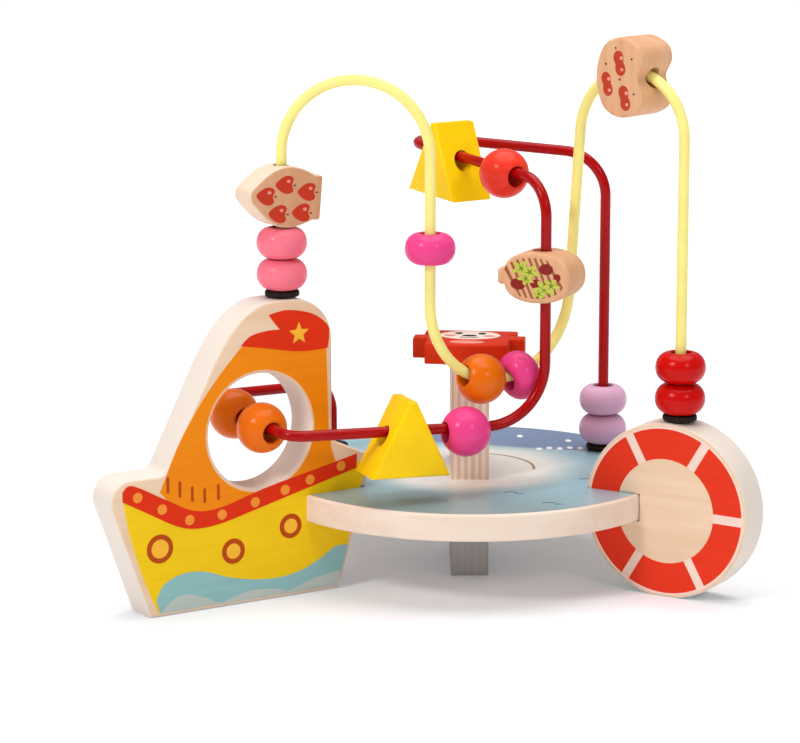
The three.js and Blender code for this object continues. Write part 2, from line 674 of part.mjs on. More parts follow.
// A frame whose Z, the axis of a turned bead, lies along a wire
function turnedFrame(direction) {
  const side = Math.abs(direction.z) > 0.9 ? vector(1, 0, 0) : up.clone();
  const x = side.clone().cross(direction).normalize();
  return new THREE.Matrix4().makeBasis(x, direction.clone().cross(x), direction);
}

// A frame whose X lies along a wire, with its Z as near upright as the wire allows
function sawnFrame(direction) {
  const y = up.clone().cross(direction).normalize();
  return new THREE.Matrix4().makeBasis(direction, y, direction.clone().cross(y));
}

function hangFrom(run, along) {
  const drop = up.clone().addScaledVector(run.direction, -up.dot(run.direction)).normalize();
  return run.start.clone().addScaledVector(run.direction, along).addScaledVector(drop, -bearing);
}

const uprightFrame = (turn) => new THREE.Matrix4().makeRotationZ(turn);

// Stacks on the wire ends, each bead resting on the one below
function addStack(names, colour, wireEnd, foot) {
  let height = foot;
  names.forEach((name) => {
    const place = vector(wireEnd.x, wireEnd.y, height + DISC_LENGTH / 2);
    addBead(name, discBead(), colour, place, uprightFrame(0));
    height += DISC_LENGTH + FIT_GAP;
  });
  return height;
}

const fishFoot = addStack(['pink_bead_lower', 'pink_bead_upper'], COLOURS.pink, yellowStart, shipStackFoot);
addStack(['red_bead_lower', 'red_bead_upper'], COLOURS.red, yellowEnd, ringStackFoot);
addStack(['lilac_bead_lower', 'lilac_bead_upper'], COLOURS.lilac, redStart, trayStackFoot);
const fishPlace = vector(yellowStart.x, yellowStart.y, fishFoot + FISH_HEIGHT / 2);
addBead('heart_fish_bead', fishBead(), COLOURS.wood, fishPlace, uprightFrame(shipTurn), 0.6);

// Beads on the upright legs lean against the wire
const nearLeg = vector(...NEAR_LEG, LEG_BEAD_HEIGHT).add(vector(0, bearing, 0));
addBead('magenta_bead_leg', discBead(), COLOURS.magenta, nearLeg, uprightFrame(0));
const loafPlace = vector(...LOOP_FRONT, LOAF_REST_HEIGHT).add(vector(-bearing, 0, 0));
addBead('striped_loaf_bead', loafBead(), COLOURS.wood, loafPlace, uprightFrame(degrees(LOAF_TURN)), 0.6);

// Beads in the dip: each is set on its own half of the round, measured from the lowest point
function seatInDip(bend, angle, halfLength) {
  const down = up.clone().negate();
  const outward = down.applyAxisAngle(bend.axis, degrees(angle));
  const rise = bend.radius - Math.sqrt(bend.radius ** 2 - halfLength ** 2);
  const place = bend.centre.clone().addScaledVector(outward, bend.radius + bearing - rise);
  return { place, direction: outward.clone().cross(bend.axis).normalize() };
}

const [dipLeft, dipRight] = [yellow.bends[2], yellow.bends[3]];
const dipBall = seatInDip(dipLeft, -DIP_BALL_ANGLE, ballHalf);
addBead('orange_ball_dip', ballBead(), COLOURS.orange, dipBall.place, turnedFrame(dipBall.direction));
const dipDisc = seatInDip(dipRight, DIP_DISC_ANGLE, DISC_LENGTH / 2);
addBead('magenta_bead_dip', discBead(), COLOURS.magenta, dipDisc.place, turnedFrame(dipDisc.direction));

// The bean hangs at the crown of the second arch
const archSpan = yellowCorners[6].clone().sub(yellowCorners[5]);
const archDirection = archSpan.clone().normalize();
const crown = yellowCorners[5].clone().addScaledVector(archSpan, 0.5);
const beanPlace = crown.clone().setZ(secondArchTop - bearing);
addBead('bean_bead', beanBead(), COLOURS.wood, beanPlace, sawnFrame(archDirection), 0.6);

// Beads on the red wire's loop, front run and the run through the ship's hole
const [loopRun, frontRun, shipRun] = [red.runs[2], red.runs[4], red.runs[5]];
const loopWedge = hangFrom(loopRun, LOOP_WEDGE_ALONG);
addBead('yellow_wedge_loop', wedgeBead(), COLOURS.yellow, loopWedge, sawnFrame(loopRun.direction));
const loopBall = hangFrom(loopRun, LOOP_BALL_ALONG);
addBead('red_ball_loop', ballBead(), COLOURS.red, loopBall, turnedFrame(loopRun.direction));
const frontBall = hangFrom(frontRun, FRONT_BALL_ALONG);
addBead('magenta_ball_front', ballBead(), COLOURS.magenta, frontBall, turnedFrame(frontRun.direction));
const frontWedge = hangFrom(frontRun, FRONT_WEDGE_ALONG);
addBead('yellow_wedge_front', wedgeBead(), COLOURS.yellow, frontWedge, sawnFrame(frontRun.direction));
const holeMiddle = -shipRun.start.dot(shipBack) / shipRun.direction.dot(shipBack);
const holeFrontBall = hangFrom(shipRun, holeMiddle - HOLE_FRONT_BALL);
addBead('orange_ball_hole_front', ballBead(), COLOURS.orange, holeFrontBall, turnedFrame(shipRun.direction));
const holeBackBall = hangFrom(shipRun, holeMiddle - HOLE_BACK_BALL);
addBead('orange_ball_hole_back', ballBead(), COLOURS.orange, holeBackBall, turnedFrame(shipRun.direction));

export default toy;
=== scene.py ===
# %% [markdown]
# # A wooden bead maze
# The toy is a round tray held between a ship board and a ring-buoy board. Two bent wires carry painted
# beads. The CAD model gives every place and every moving body. This script dresses it: it replaces the
# plain solids with smoother meshes of the same size, lays the printed pictures on as thin ink layers,
# and gives each piece a finish made of shader nodes. Lengths of the toy are written in millimetres, and
# MM turns them into Blender's metres.

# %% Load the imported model
import math

import bmesh
import bpy
from mathutils import Matrix, Vector


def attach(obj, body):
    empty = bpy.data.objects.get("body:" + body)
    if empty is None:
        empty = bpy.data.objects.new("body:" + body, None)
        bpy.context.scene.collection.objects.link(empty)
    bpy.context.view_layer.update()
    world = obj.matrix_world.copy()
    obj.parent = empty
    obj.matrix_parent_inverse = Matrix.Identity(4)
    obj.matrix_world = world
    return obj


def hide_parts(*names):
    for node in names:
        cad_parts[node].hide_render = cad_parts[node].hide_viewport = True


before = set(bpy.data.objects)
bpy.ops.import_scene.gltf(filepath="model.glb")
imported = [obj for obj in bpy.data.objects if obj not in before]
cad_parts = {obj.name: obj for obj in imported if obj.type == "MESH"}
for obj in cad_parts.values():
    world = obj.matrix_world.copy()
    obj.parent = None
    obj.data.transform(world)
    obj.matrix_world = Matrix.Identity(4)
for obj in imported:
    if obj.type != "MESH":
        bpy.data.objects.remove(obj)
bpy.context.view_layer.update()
MM = 0.001

# %% [markdown]
# The camera stands where the photographer stood: a long lens, about 1.2 m away and 11 degrees above level.
# It could be set by eye, but the tray's ellipse and the two boards fix it better. A focal length given in
# image pixels turns into a lens length through the sensor's width.

# %% Camera
FOCUS_PIXELS = 3200
IMAGE_WIDTH = 800
SENSOR_WIDTH = 36
CAMERA_PITCH = 11.4
CAMERA_PLACE = (-0.0261, -1.181, 0.3122)


def put_in_scene(name, data):
    """Makes an object of the data and links it to the scene."""
    item = bpy.data.objects.new(name, data)
    bpy.context.scene.collection.objects.link(item)
    return item


camera_data = bpy.data.cameras.new("photo_camera")
camera_data.sensor_width = SENSOR_WIDTH
camera_data.lens = SENSOR_WIDTH * FOCUS_PIXELS / IMAGE_WIDTH
camera_data.dof.use_dof = False
camera = put_in_scene("photo_camera", camera_data)
camera.location = CAMERA_PLACE
camera.rotation_euler = (math.radians(90 - CAMERA_PITCH), 0, 0)
bpy.context.scene.camera = camera
print("lens:", round(camera_data.lens), "mm")

# %% [markdown]
# Shader maths reads best as plain sums. The nodes could be added and linked one by one, but then the sum
# is lost among the links. So a small class wraps a node's output, and adding or multiplying two of them
# adds the Math node that does it. One method makes every other kind of node.


# %% Shader expressions
class Value:
    """A node output that can be used in sums."""

    def __init__(self, finish, socket):
        self.finish = finish
        self.socket = socket

    def math(self, operation, first, second):
        return self.finish.node("Math", {"operation": operation}, {0: first, 1: second})

    def __add__(self, other):
        return self.math("ADD", self, other)

    def __radd__(self, other):
        return self.math("ADD", other, self)

    def __sub__(self, other):
        return self.math("SUBTRACT", self, other)

    def __rsub__(self, other):
        return self.math("SUBTRACT", other, self)

    def __mul__(self, other):
        return self.math("MULTIPLY", self, other)

    def __rmul__(self, other):
        return self.math("MULTIPLY", other, self)

    def __truediv__(self, other):
        return self.math("DIVIDE", self, other)

    def __rtruediv__(self, other):
        return self.math("DIVIDE", other, self)

    def step(self, low, high):
        """0 below low, 1 above high, and a soft rise between."""
        settings = {"interpolation_type": "SMOOTHSTEP"}
        return self.finish.node("MapRange", settings, {"Value": self, "From Min": low, "From Max": high})


class Finish:
    """One material: a Principled shader and the nodes that feed it."""

    def __init__(self, name, **shader_values):
        self.material = bpy.data.materials.new(name)
        self.material.use_nodes = True
        self.tree = self.material.node_tree
        self.shader = self.tree.nodes["Principled BSDF"]
        self.set(**shader_values)

    def set(self, **values):
        for key, value in values.items():
            self.feed(self.shader.inputs[key.replace("_", " ")], value)

    def feed(self, socket, value):
        if isinstance(value, Value):
            self.tree.links.new(value.socket, socket)
        elif isinstance(value, tuple) and socket.type == "RGBA":
            socket.default_value = (*value, 1)
        else:
            socket.default_value = value

    def node(self, kind, settings=None, sockets=None, output=0):
        node = self.tree.nodes.new("ShaderNode" + kind)
        for key, value in (settings or {}).items():
            setattr(node, key, value)
        for key, value in (sockets or {}).items():
            self.feed(node.inputs[key], value)
        return Value(self, node.outputs[output])

    def place(self):
        return self.node("TexCoord", output="Object")

    def noise(self, scale, detail, vector=None):
        sockets = {"Vector": vector or self.place(), "Scale": scale, "Detail": detail}
        return self.node("TexNoise", None, sockets)

    def stretched(self, scale):
        return self.node("Mapping", None, {"Vector": self.place(), "Scale": scale})

    def part(self, vector, axis):
        return self.node("SeparateXYZ", None, {0: vector}, output=axis)

    def length(self, vector):
        return self.node("VectorMath", {"operation": "LENGTH"}, {0: vector}, output="Value")

    def mix(self, factor, first, second):
        return self.node("Mix", {"data_type": "RGBA"}, {0: factor, 6: first, 7: second}, output=2)

    def bump(self, height, distance, strength):
        sockets = {"Height": height, "Distance": distance, "Strength": strength}
        return self.node("Bump", None, sockets)


def srgb(red, green, blue):
    """A screen colour, 0 to 255, as the linear colour that the shader works in."""
    parts = [part / 255 for part in (red, green, blue)]
    return tuple(p / 12.92 if p <= 0.04045 else ((p + 0.055) / 1.055) ** 2.4 for p in parts)


def shade(colour, amount):
    return tuple(part * amount for part in colour)


print("shader expressions ready")

# %% [markdown]
# The boards are pale, close-grained wood under a satin lacquer. A flat picture of wood would smear over
# the edges, so the grain is noise in space, stretched along one direction: a broad figure for the growth
# rings and a fine one for the pores. The fine one also gives a slight relief and roughness. Each piece
# keeps its own coordinates, so the grain follows the board. The sawn edges are painted paler than the
# faces, a painted highlight for the strong side light; the direction that the surface faces tells them
# apart.

# %% Wood finish
GRAIN_ALONG = {"X": (30, 420, 420), "Z": (420, 420, 30)}
RINGS_TO_PORES = 0.22
PORE_DEPTH = 0.02


def wood_finish(name, light, dark, along="X", edge=None, through="Z"):
    finish = Finish(name, Specular_IOR_Level=0.25)
    pore_scale = GRAIN_ALONG[along]
    ring_scale = tuple(scale * RINGS_TO_PORES for scale in pore_scale)
    pores = finish.noise(1.0, 3.0, finish.stretched(pore_scale))
    rings = finish.noise(1.0, 2.0, finish.stretched(ring_scale))
    figure = (rings * 0.65 + pores * 0.35).step(0.36, 0.66)
    colour = finish.mix(figure, light, dark)
    if edge:
        # Painted highlight: surfaces that face away from the through axis take the paler edge colour.
        facing = finish.part(finish.node("TexCoord", output="Normal"), through)
        colour = finish.mix((facing * facing).step(0.3, 0.9), edge, colour)
    finish.set(
        Base_Color=colour,
        Roughness=0.48 + pores * 0.14,
        Normal=finish.bump(pores, PORE_DEPTH * MM, 0.5),
    )
    return finish.material


# The edge colours given to the boards and the fish are painted highlights for the side light.
board_wood = wood_finish("board_wood", srgb(237, 206, 176), srgb(230, 195, 161), edge=srgb(230, 216, 204))
tray_wood = wood_finish("tray_wood", srgb(238, 218, 201), srgb(231, 207, 187))
pin_wood = wood_finish("pin_wood", srgb(243, 214, 184), srgb(236, 202, 168), "Z")
bead_wood = wood_finish("bead_wood", srgb(224, 173, 133), srgb(214, 159, 118), "Z")
fish_wood = wood_finish("fish_wood", srgb(216, 164, 126), srgb(208, 152, 114), "Z", srgb(234, 206, 182), "Y")
print("wood finishes:", [wood.name for wood in (board_wood, tray_wood, pin_wood, bead_wood, fish_wood)])

# %% [markdown]
# The beads are dipped in gloss paint, which is never quite even: it is a little thinner in some places,
# and its surface has a faint ripple. One flat colour would look like plastic, and two weak noises are
# enough to avoid that.

# %% Paint finish
RIPPLE_DEPTH = 0.012


def paint_finish(name, colour, rough=0.2, coat=0.03):
    finish = Finish(name, Specular_IOR_Level=0.16, Coat_Weight=coat, Coat_Roughness=0.1)
    patches = finish.noise(90.0, 2.0)
    ripple = finish.noise(520.0, 1.0)
    finish.set(
        Base_Color=finish.mix(patches.step(0.3, 0.7), shade(colour, 0.93), colour),
        Roughness=rough + patches * 0.1,
        Normal=finish.bump(ripple, RIPPLE_DEPTH * MM, 0.6),
    )
    return finish.material


paint_colours = {
    "pink": srgb(246, 118, 138),
    "magenta": srgb(236, 68, 138),
    "orange": srgb(230, 108, 4),
    "red": srgb(202, 4, 2),
    "coral": srgb(236, 58, 38),
    "lilac": srgb(220, 170, 200),
}
paints = {name: paint_finish(name + "_paint", colour) for name, colour in paint_colours.items()}
paints["yellow"] = paint_finish("yellow_paint", srgb(255, 208, 2), rough=0.34, coat=0.0)
print("paints:", list(paints))

# %% [markdown]
# The printed pictures are flatter inks than the paint, and a trace of the wood's grain shows through them.
# They could share the paint's nodes, but then that trace would be missing.

# %% Print finish
FIBRE_SCALE = (35, 500, 500)
FIBRE_DEPTH = 0.01


def print_finish(name, colour):
    finish = Finish(name, Specular_IOR_Level=0.12)
    fibre = finish.noise(1.0, 3.0, finish.stretched(FIBRE_SCALE))
    cloud = finish.noise(45.0, 2.0)
    tone = (fibre * 0.6 + cloud * 0.4).step(0.3, 0.7)
    finish.set(
        Base_Color=finish.mix(tone, shade(colour, 0.92), colour),
        Roughness=0.4 + fibre * 0.12,
        Normal=finish.bump(fibre, FIBRE_DEPTH * MM, 0.4),
    )
    return finish.material


ink_colours = {
    "yellow": srgb(248, 204, 16),
    "orange": srgb(246, 140, 6),
    "red": srgb(226, 48, 6),
    "buoy_red": srgb(232, 54, 26),
    "buoy_pale": srgb(248, 218, 202),
    "light_orange": srgb(247, 150, 52),
    "gold": srgb(252, 188, 52),
    "rust": srgb(186, 72, 8),
    "blue": srgb(146, 192, 194),
    "foam": srgb(190, 200, 194),
    "heart": srgb(200, 56, 32),
    "berry": srgb(188, 62, 38),
    "fleck": srgb(110, 42, 26),
    "leaf": srgb(194, 200, 82),
    "vein": srgb(120, 130, 40),
    "crust": srgb(158, 92, 60),
    "plum": srgb(140, 36, 32),
    "cream": srgb(252, 232, 222),
    "blush": srgb(238, 150, 140),
    "black": srgb(36, 24, 24),
    "sand_line": srgb(178, 140, 104),
    "white": srgb(244, 248, 250),
    "navy": srgb(84, 106, 124),
}
inks = {name: print_finish(name + "_ink", colour) for name, colour in ink_colours.items()}
print("inks:", len(inks))

# %% [markdown]
# The wires are steel rod with a thick gloss enamel, and the stoppers are dull black rubber. Enamel is a
# paint with a harder gloss, so it comes from the same function; rubber is grainy and gets its own nodes.

# %% Enamel and rubber
wire_finishes = {
    "yellow_wire": paint_finish("yellow_enamel", srgb(250, 236, 140), 0.24, 0.08),
    "red_wire": paint_finish("red_enamel", srgb(168, 4, 6), 0.14, 0.03),
}
GRAIN_DEPTH = 0.03
rubber = Finish("black_rubber", Specular_IOR_Level=0.15)
rubber_grain = rubber.noise(900.0, 2.0)
rubber.set(
    Base_Color=rubber.mix(rubber_grain, srgb(30, 20, 18), srgb(46, 32, 28)),
    Roughness=0.55 + rubber_grain * 0.2,
    Normal=rubber.bump(rubber_grain, GRAIN_DEPTH * MM, 0.5),
)
print("enamels:", list(wire_finishes))

# %% [markdown]
# A sawn board is an outline with thickness and softened edges. It could be extruded and bevelled face by
# face, but a filled 2D curve gives exactly that at once: it takes the outline and its holes, and its bevel
# rounds the edges. The curve is turned into a mesh, and its seams are welded so that the piece is one
# closed skin.

# %% Boards from outlines
WELD_REACH = 0.001
SLIVER = 0.0005
SMOOTH_ANGLE = 35
UPRIGHT = Matrix.Rotation(math.radians(90), 4, "X")


def add_piece(name, mesh, finish, body, place=None):
    """Puts a mesh in the scene with its finish, on the body that carries it."""
    mesh.materials.clear()
    mesh.materials.append(finish)
    piece = put_in_scene(name, mesh)
    piece.matrix_world = place or Matrix()
    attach(piece, body)
    return piece


def settled_mesh(item, name):
    """An object's mesh with its bevel or modifier applied."""
    bpy.context.view_layer.update()
    graph = bpy.context.evaluated_depsgraph_get()
    mesh = bpy.data.meshes.new_from_object(item.evaluated_get(graph))
    mesh.name = name
    return mesh


def mesh_of(curve, name):
    draft = put_in_scene(name + "_draft", curve)
    mesh = settled_mesh(draft, name)
    bpy.data.objects.remove(draft)
    bpy.data.curves.remove(curve)
    return mesh


def weld(mesh, angle=SMOOTH_ANGLE):
    bm = bmesh.new()
    bm.from_mesh(mesh)
    bmesh.ops.remove_doubles(bm, verts=bm.verts, dist=WELD_REACH * MM)
    bmesh.ops.dissolve_degenerate(bm, dist=SLIVER * MM, edges=bm.edges)
    bmesh.ops.recalc_face_normals(bm, faces=bm.faces)
    bm.to_mesh(mesh)
    bm.free()
    mesh.shade_smooth()
    mesh.set_sharp_from_angle(angle=math.radians(angle))
    return mesh


def add_line(curve, places, closed):
    """A line through places in metres."""
    spline = curve.splines.new("POLY")
    spline.points.add(len(places) - 1)
    for point, place in zip(spline.points, places):
        point.co = (*place, 1)
    spline.use_cyclic_u = closed


def sawn_mesh(name, loops, low, high, rounding=0.0):
    """Outlines in millimetres, filled, from low to high along their normal, with rounded edges."""
    curve = bpy.data.curves.new(name, "CURVE")
    curve.dimensions = "2D"
    curve.fill_mode = "BOTH"
    curve.extrude = ((high - low) / 2 - rounding) * MM
    curve.bevel_depth = rounding * MM
    curve.bevel_resolution = 3
    curve.offset = -rounding * MM
    for loop in loops:
        add_line(curve, [(x * MM, y * MM, 0) for x, y in loop], closed=True)
    mesh = mesh_of(curve, name)
    mesh.transform(Matrix.Translation((0, 0, (low + high) / 2 * MM)))
    return weld(mesh)


print("boards are welded within", WELD_REACH, "mm")

# %% [markdown]
# Each outline is a list of points. Arcs and Bezier curves could stay Blender curves, but as plain points
# they can be joined, mirrored and cut before anything is made.


# %% Outline tools
def arc_points(x, y, radius, start, end, step=4.0):
    count = max(2, math.ceil(abs(end - start) / step))
    angles = [math.radians(start + (end - start) * i / count) for i in range(count + 1)]
    return [(x + radius * math.cos(a), y + radius * math.sin(a)) for a in angles]


def circle(x, y, radius, step=7.5):
    return arc_points(x, y, radius, 0, 360, step)[:-1]


def oval(x, y, wide, deep, step=10):
    return [(x + wide * px, y + deep * py) for px, py in circle(0, 0, 1, step)]


def rectangle(x, y):
    """The corners of a rectangle with these half sizes."""
    return [(-x, -y), (x, -y), (x, y), (-x, y)]


def flipped(points):
    """The same points above the long axis instead of below, in reverse order."""
    return [(x, -y) for x, y in points[::-1]]


def bezier_points(start, first, second, end, count=14):
    corners = (start, first, second, end)
    points = []
    for i in range(count + 1):
        t = i / count
        s = 1 - t
        weights = (s ** 3, 3 * s * s * t, 3 * s * t * t, t ** 3)
        points.append(tuple(sum(w * c[k] for w, c in zip(weights, corners)) for k in (0, 1)))
    return points


def quadratic_points(start, control, end, count=12):
    first = tuple(s + (c - s) * 2 / 3 for s, c in zip(start, control))
    second = tuple(e + (c - e) * 2 / 3 for e, c in zip(end, control))
    return bezier_points(start, first, second, end, count)


def smooth_line(points, closed=False, steps=6):
    """A soft line through given points."""
    count = len(points)
    line = []
    for i in range(count if closed else count - 1):
        near = [i - 1, i, i + 1, i + 2]
        near = [k % count if closed else min(max(k, 0), count - 1) for k in near]
        before, start, end, after = [Vector(points[k]) for k in near]
        first = start + (end - before) / 6
        second = end - (after - start) / 6
        line += bezier_points(start, first, second, end, steps)[:-1]
    return line if closed else line + [tuple(points[-1])]


print("points in a circle:", len(circle(0, 0, 1)))

# %% [markdown]
# The ship board stands on a line through the tray's axis, swung 32 degrees to the front. Its outline is
# measured from that axis along the board, outwards to the left, so the numbers are negative. The slot takes
# the tray's rim, and the round hole lets the red wire through. Both could be cut with a Boolean, but as
# part of the outline they get the same rounded edge as the rest.

# %% Ship board
BOARD = 15.0
BOARD_FRONT = 6.0
BOARD_BACK = BOARD_FRONT - BOARD
EDGE_ROUND = 1.2
TRAY_RADIUS = 75.0
TRAY_TOP = 37.0
TRAY_THICKNESS = 10.0
SLOT_GAP = 0.05
SHIP_ANGLE = 32.0
SHIP_HEIGHT = 110.0
SHIP_HOLE = (-93.8, 63.2, 21.1)
BOW_FOOT, BOW_TIP, BOW_HEIGHT = -60.7, -46, 48.5
DECK = (-60.5, 55)
CABIN_FRONT, CABIN_ROUND = -63.5, 16
STERN_FOOT, STERN_MIDDLE, STERN_HEIGHT, STERN_ROUND = -139.4, -146.5, 51.5, 8
ship_place = Matrix.Rotation(math.radians(SHIP_ANGLE), 4, "Z") @ UPRIGHT
slot_low = TRAY_TOP - TRAY_THICKNESS - SLOT_GAP
slot_high = TRAY_TOP + SLOT_GAP
slot_end = TRAY_RADIUS + SLOT_GAP


def bow_edge(height):
    """How far the bow's leaning edge reaches at a height."""
    return BOW_FOOT + height * (BOW_TIP - BOW_FOOT) / BOW_HEIGHT


ship_outline = [
    (BOW_FOOT, 0), (bow_edge(slot_low), slot_low), (-slot_end, slot_low),
    (-slot_end, slot_high), (bow_edge(slot_high), slot_high), (BOW_TIP, BOW_HEIGHT), DECK,
]
ship_outline += quadratic_points(DECK, (CABIN_FRONT, 56), (CABIN_FRONT, 59))[1:]
ship_outline += arc_points(CABIN_FRONT - CABIN_ROUND, SHIP_HEIGHT - CABIN_ROUND, CABIN_ROUND, 0, 90)
ship_outline += quadratic_points((-88, SHIP_HEIGHT), (-102.2, SHIP_HEIGHT), (-114.2, 86.9))
ship_outline += quadratic_points((-130.95, 54.5), (-132.5, STERN_HEIGHT), (-135.5, STERN_HEIGHT))
ship_outline += arc_points(STERN_MIDDLE, STERN_HEIGHT - STERN_ROUND, STERN_ROUND, 90, 199)
ship_outline += [(STERN_FOOT, 0)]
ship_loops = [ship_outline, circle(*SHIP_HOLE, 5)]
ship_mesh = sawn_mesh("ship_board", ship_loops, BOARD_BACK, BOARD_FRONT, EDGE_ROUND)
ship_board = add_piece("ship_board", ship_mesh, board_wood, "maze_frame", ship_place)
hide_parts("ship_panel")
print("ship board faces:", len(ship_mesh.polygons))

# %% [markdown]
# The pictures are printed in layers, and each layer is a separate colour. They could be drawn in the
# shader, but the outlines are free shapes, and a thin layer of real ink keeps its edge crisp at any
# distance. Each ink is a few hundredths of a millimetre thick, and later inks lie on earlier ones.

# %% Ink layers
INK_STEP = 0.045
INK_ROOT = 0.3


def printer(prefix, face, body, place):
    """Gives a function that prints loops on one face of a piece."""
    def print_layer(name, loops, ink, level):
        mesh = sawn_mesh(prefix + name, loops, face - INK_ROOT, face + INK_STEP * level)
        add_piece(prefix + name, mesh, inks[ink], body, place)

    return print_layer


print("ink step:", INK_STEP, "mm")

# %% [markdown]
# The ship's picture is a yellow hull with waves and portholes, a red band with dots, and an orange cabin
# with a red roof. Straight lines between a few points would look stiff, so soft lines run through them.

# %% Ship picture outlines
PRINT_FOOT = 1.3
HOLE_MARGIN = 1.35
band_top = smooth_line([
    (-149.8, 47.6), (-145.8, 49.4), (-133, 42.9), (-121.5, 37.3), (-110.8, 37), (-96.3, 40.8),
    (-80.6, 44.4), (-64.7, 47.6), (-53.2, 50.1),
])
band_low = smooth_line([
    (-149.9, 44), (-141, 39.2), (-129.1, 32.8), (-121.1, 30.6), (-110.8, 31.1), (-94.3, 34.9),
    (-75.4, 39.5), (-53.6, 44.7),
])
band_mid = [((a[0] + b[0]) / 2, (a[1] + b[1]) / 2) for a, b in zip(band_top[::8], band_low[::7])]
hull = smooth_line([(-136, PRINT_FOOT), (-139.7, 9), (-143.6, 19.4), (-147.6, 33), (-149.6, 44)])
hull += band_mid[1:] + [(-49.5, 45.5), (-51, 40), (-61.6, PRINT_FOOT)]
cabin = smooth_line([
    (-135, 45.7), (-132.9, 50), (-126.6, 62.9), (-118.4, 75.6), (-110.2, 85.6), (-101.9, 94.3),
])
cabin += [(-98, 97), (-66.3, 97), (-65.2, 60), (-64, 53), (-62, 47)] + band_mid[::-1][2:-2]
hole_edge = circle(SHIP_HOLE[0], SHIP_HOLE[1], SHIP_HOLE[2] + HOLE_MARGIN, 5)
roof_corners = [(-85.4, 99.6), (-90, 105.4), (-65.6, 90.9), (-101.6, 95.2)]
roof = smooth_line([roof_corners[0], (-88.2, 102.8), roof_corners[1]])[:-1]
roof += smooth_line([
    roof_corners[1], (-82.2, 106.4), (-72, 104.2), (-65.7, 99.6), (-64.9, 95.6), roof_corners[2],
])[:-1]
roof += smooth_line([roof_corners[2], (-77.1, 90.8), (-89.6, 93), roof_corners[3]])[:-1]
roof += smooth_line([roof_corners[3], (-97.5, 98.4), (-91, 99.6), roof_corners[0]])[:-1]
wave = smooth_line([
    (-137, 6.5), (-134, 11.6), (-128, 14.3), (-122, 14.8), (-116.2, 13.9), (-107, 10.6), (-96.6, 8.4),
    (-86, 7.8), (-77, 9.2), (-69, 12.6), (-62.8, 16.1), (-57.2, 16.2),
])
wave += [(-61.6, PRINT_FOOT), (-135.6, PRINT_FOOT)]
foam = smooth_line([
    (-135.4, 1.5), (-130, 5.8), (-124.5, 6.8), (-117, 4.6), (-111.2, 1.9), (-104, 3.6), (-97, 4.6),
    (-88, 3.6), (-82, 2.3), (-75, 4.6), (-69.2, 5.8), (-60.4, 7),
])
foam += [(-61.4, 1.5)]
print("hull points:", len(hull), "cabin points:", len(cabin))

# %% [markdown]
# The small marks are circles, rounded bars and a star. Each kind shares one function, and the marks of one
# colour are printed together as one layer.

# %% Ship picture layers
DOT_RADIUS = 1.9
BAR_HALF = 0.55
RIM_WIDTH = 1.85
dots = [
    (-143.9, 44.9), (-134.2, 39.4), (-123.2, 34.1), (-110, 34.4), (-96.3, 37.2), (-83.8, 40.2),
    (-73.3, 42.7), (-60.1, 46.2),
]
portholes = [(-135.3, 25.1, 5.3), (-105.5, 20.2, 4.7), (-81.6, 26.4, 4.6)]
bars = [
    (-131.8, 44.9, 50.9), (-127, 42.8, 48.9), (-122, 40.6, 46.4), (-117, 39.5, 45.1), (-111.4, 39.9, 45.9),
]


def bar_loop(x, low, high):
    head = arc_points(x, high - BAR_HALF, BAR_HALF, 0, 180, 30)
    return head + arc_points(x, low + BAR_HALF, BAR_HALF, 180, 360, 30)


def star_loop(x, y, outer, inner, turn=90):
    points = []
    for i in range(10):
        angle = math.radians(turn + 36 * i)
        reach = outer if i % 2 == 0 else inner
        points.append((x + reach * math.cos(angle), y + reach * math.sin(angle)))
    return points


rims = [circle(*porthole, 12) for porthole in portholes]
lights = [circle(x, y, radius - RIM_WIDTH, 12) for x, y, radius in portholes]
ship_layers = [
    ("hull", [hull], "yellow", 1),
    ("cabin", [cabin, hole_edge], "orange", 1),
    ("waves", [wave], "blue", 2),
    ("foam", [foam], "foam", 3),
    ("band", [band_top + band_low[::-1], roof], "red", 3),
    ("dots", [circle(x, y, DOT_RADIUS, 20) for x, y in dots], "light_orange", 4),
    ("rings", rims + [bar_loop(*bar) for bar in bars], "rust", 3),
    ("lights", lights + [star_loop(-77.6, 97.4, 4.3, 1.9)], "gold", 4),
]
ship_print = printer("ship_print_", BOARD_FRONT, "maze_frame", ship_place)
for layer in ship_layers:
    ship_print(*layer)
print("ship print layers:", len(ship_layers))

# %% [markdown]
# The ring-buoy board is a disc with a short flat to stand on and a slot for the tray. It could be turned
# as a lathe shape, but then the flat and the slot would have to be cut, so it is an outline too.

# %% Ring-buoy board
RING_ANGLE = -31.0
RING_RADIUS = 32.5
RING_FLAT = 10.0
RING_OUT = 85.6
RING_ROUND = 0.7
RING_CENTRE = (RING_OUT, math.sqrt(RING_RADIUS ** 2 - (RING_FLAT / 2) ** 2))
ring_place = Matrix.Rotation(math.radians(RING_ANGLE), 4, "Z") @ UPRIGHT
flat_half = math.degrees(math.asin(RING_FLAT / 2 / RING_RADIUS))


def ring_angle_at(height):
    """The angle at which the ring's inner edge passes a height."""
    return 180 - math.degrees(math.asin((height - RING_CENTRE[1]) / RING_RADIUS))


ring_outline = arc_points(*RING_CENTRE, RING_RADIUS, flat_half - 90, ring_angle_at(slot_high))
ring_outline += [(slot_end, slot_high), (slot_end, slot_low)]
ring_outline += arc_points(*RING_CENTRE, RING_RADIUS, ring_angle_at(slot_low), 270 - flat_half)
ring_mesh = sawn_mesh("ring_board", [ring_outline], BOARD_BACK, BOARD_FRONT, RING_ROUND)
ring_board = add_piece("ring_board", ring_mesh, board_wood, "maze_frame", ring_place)
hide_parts("ring_buoy_panel")
print("ring board faces:", len(ring_mesh.polygons))

# %% [markdown]
# A pale ring is printed first, and six red fields with parallel gaps between them make it a life ring. The
# gaps could be printed white on a red ring; red on pale shows the same thin pale rim as the real print.

# %% Ring-buoy picture
FIELD_INNER, FIELD_OUTER, FIELD_GAP = 19.4, 30.6, 3.4
FIELD_START, FIELD_ANGLE = -1, 60
PALE_RIM = 0.8


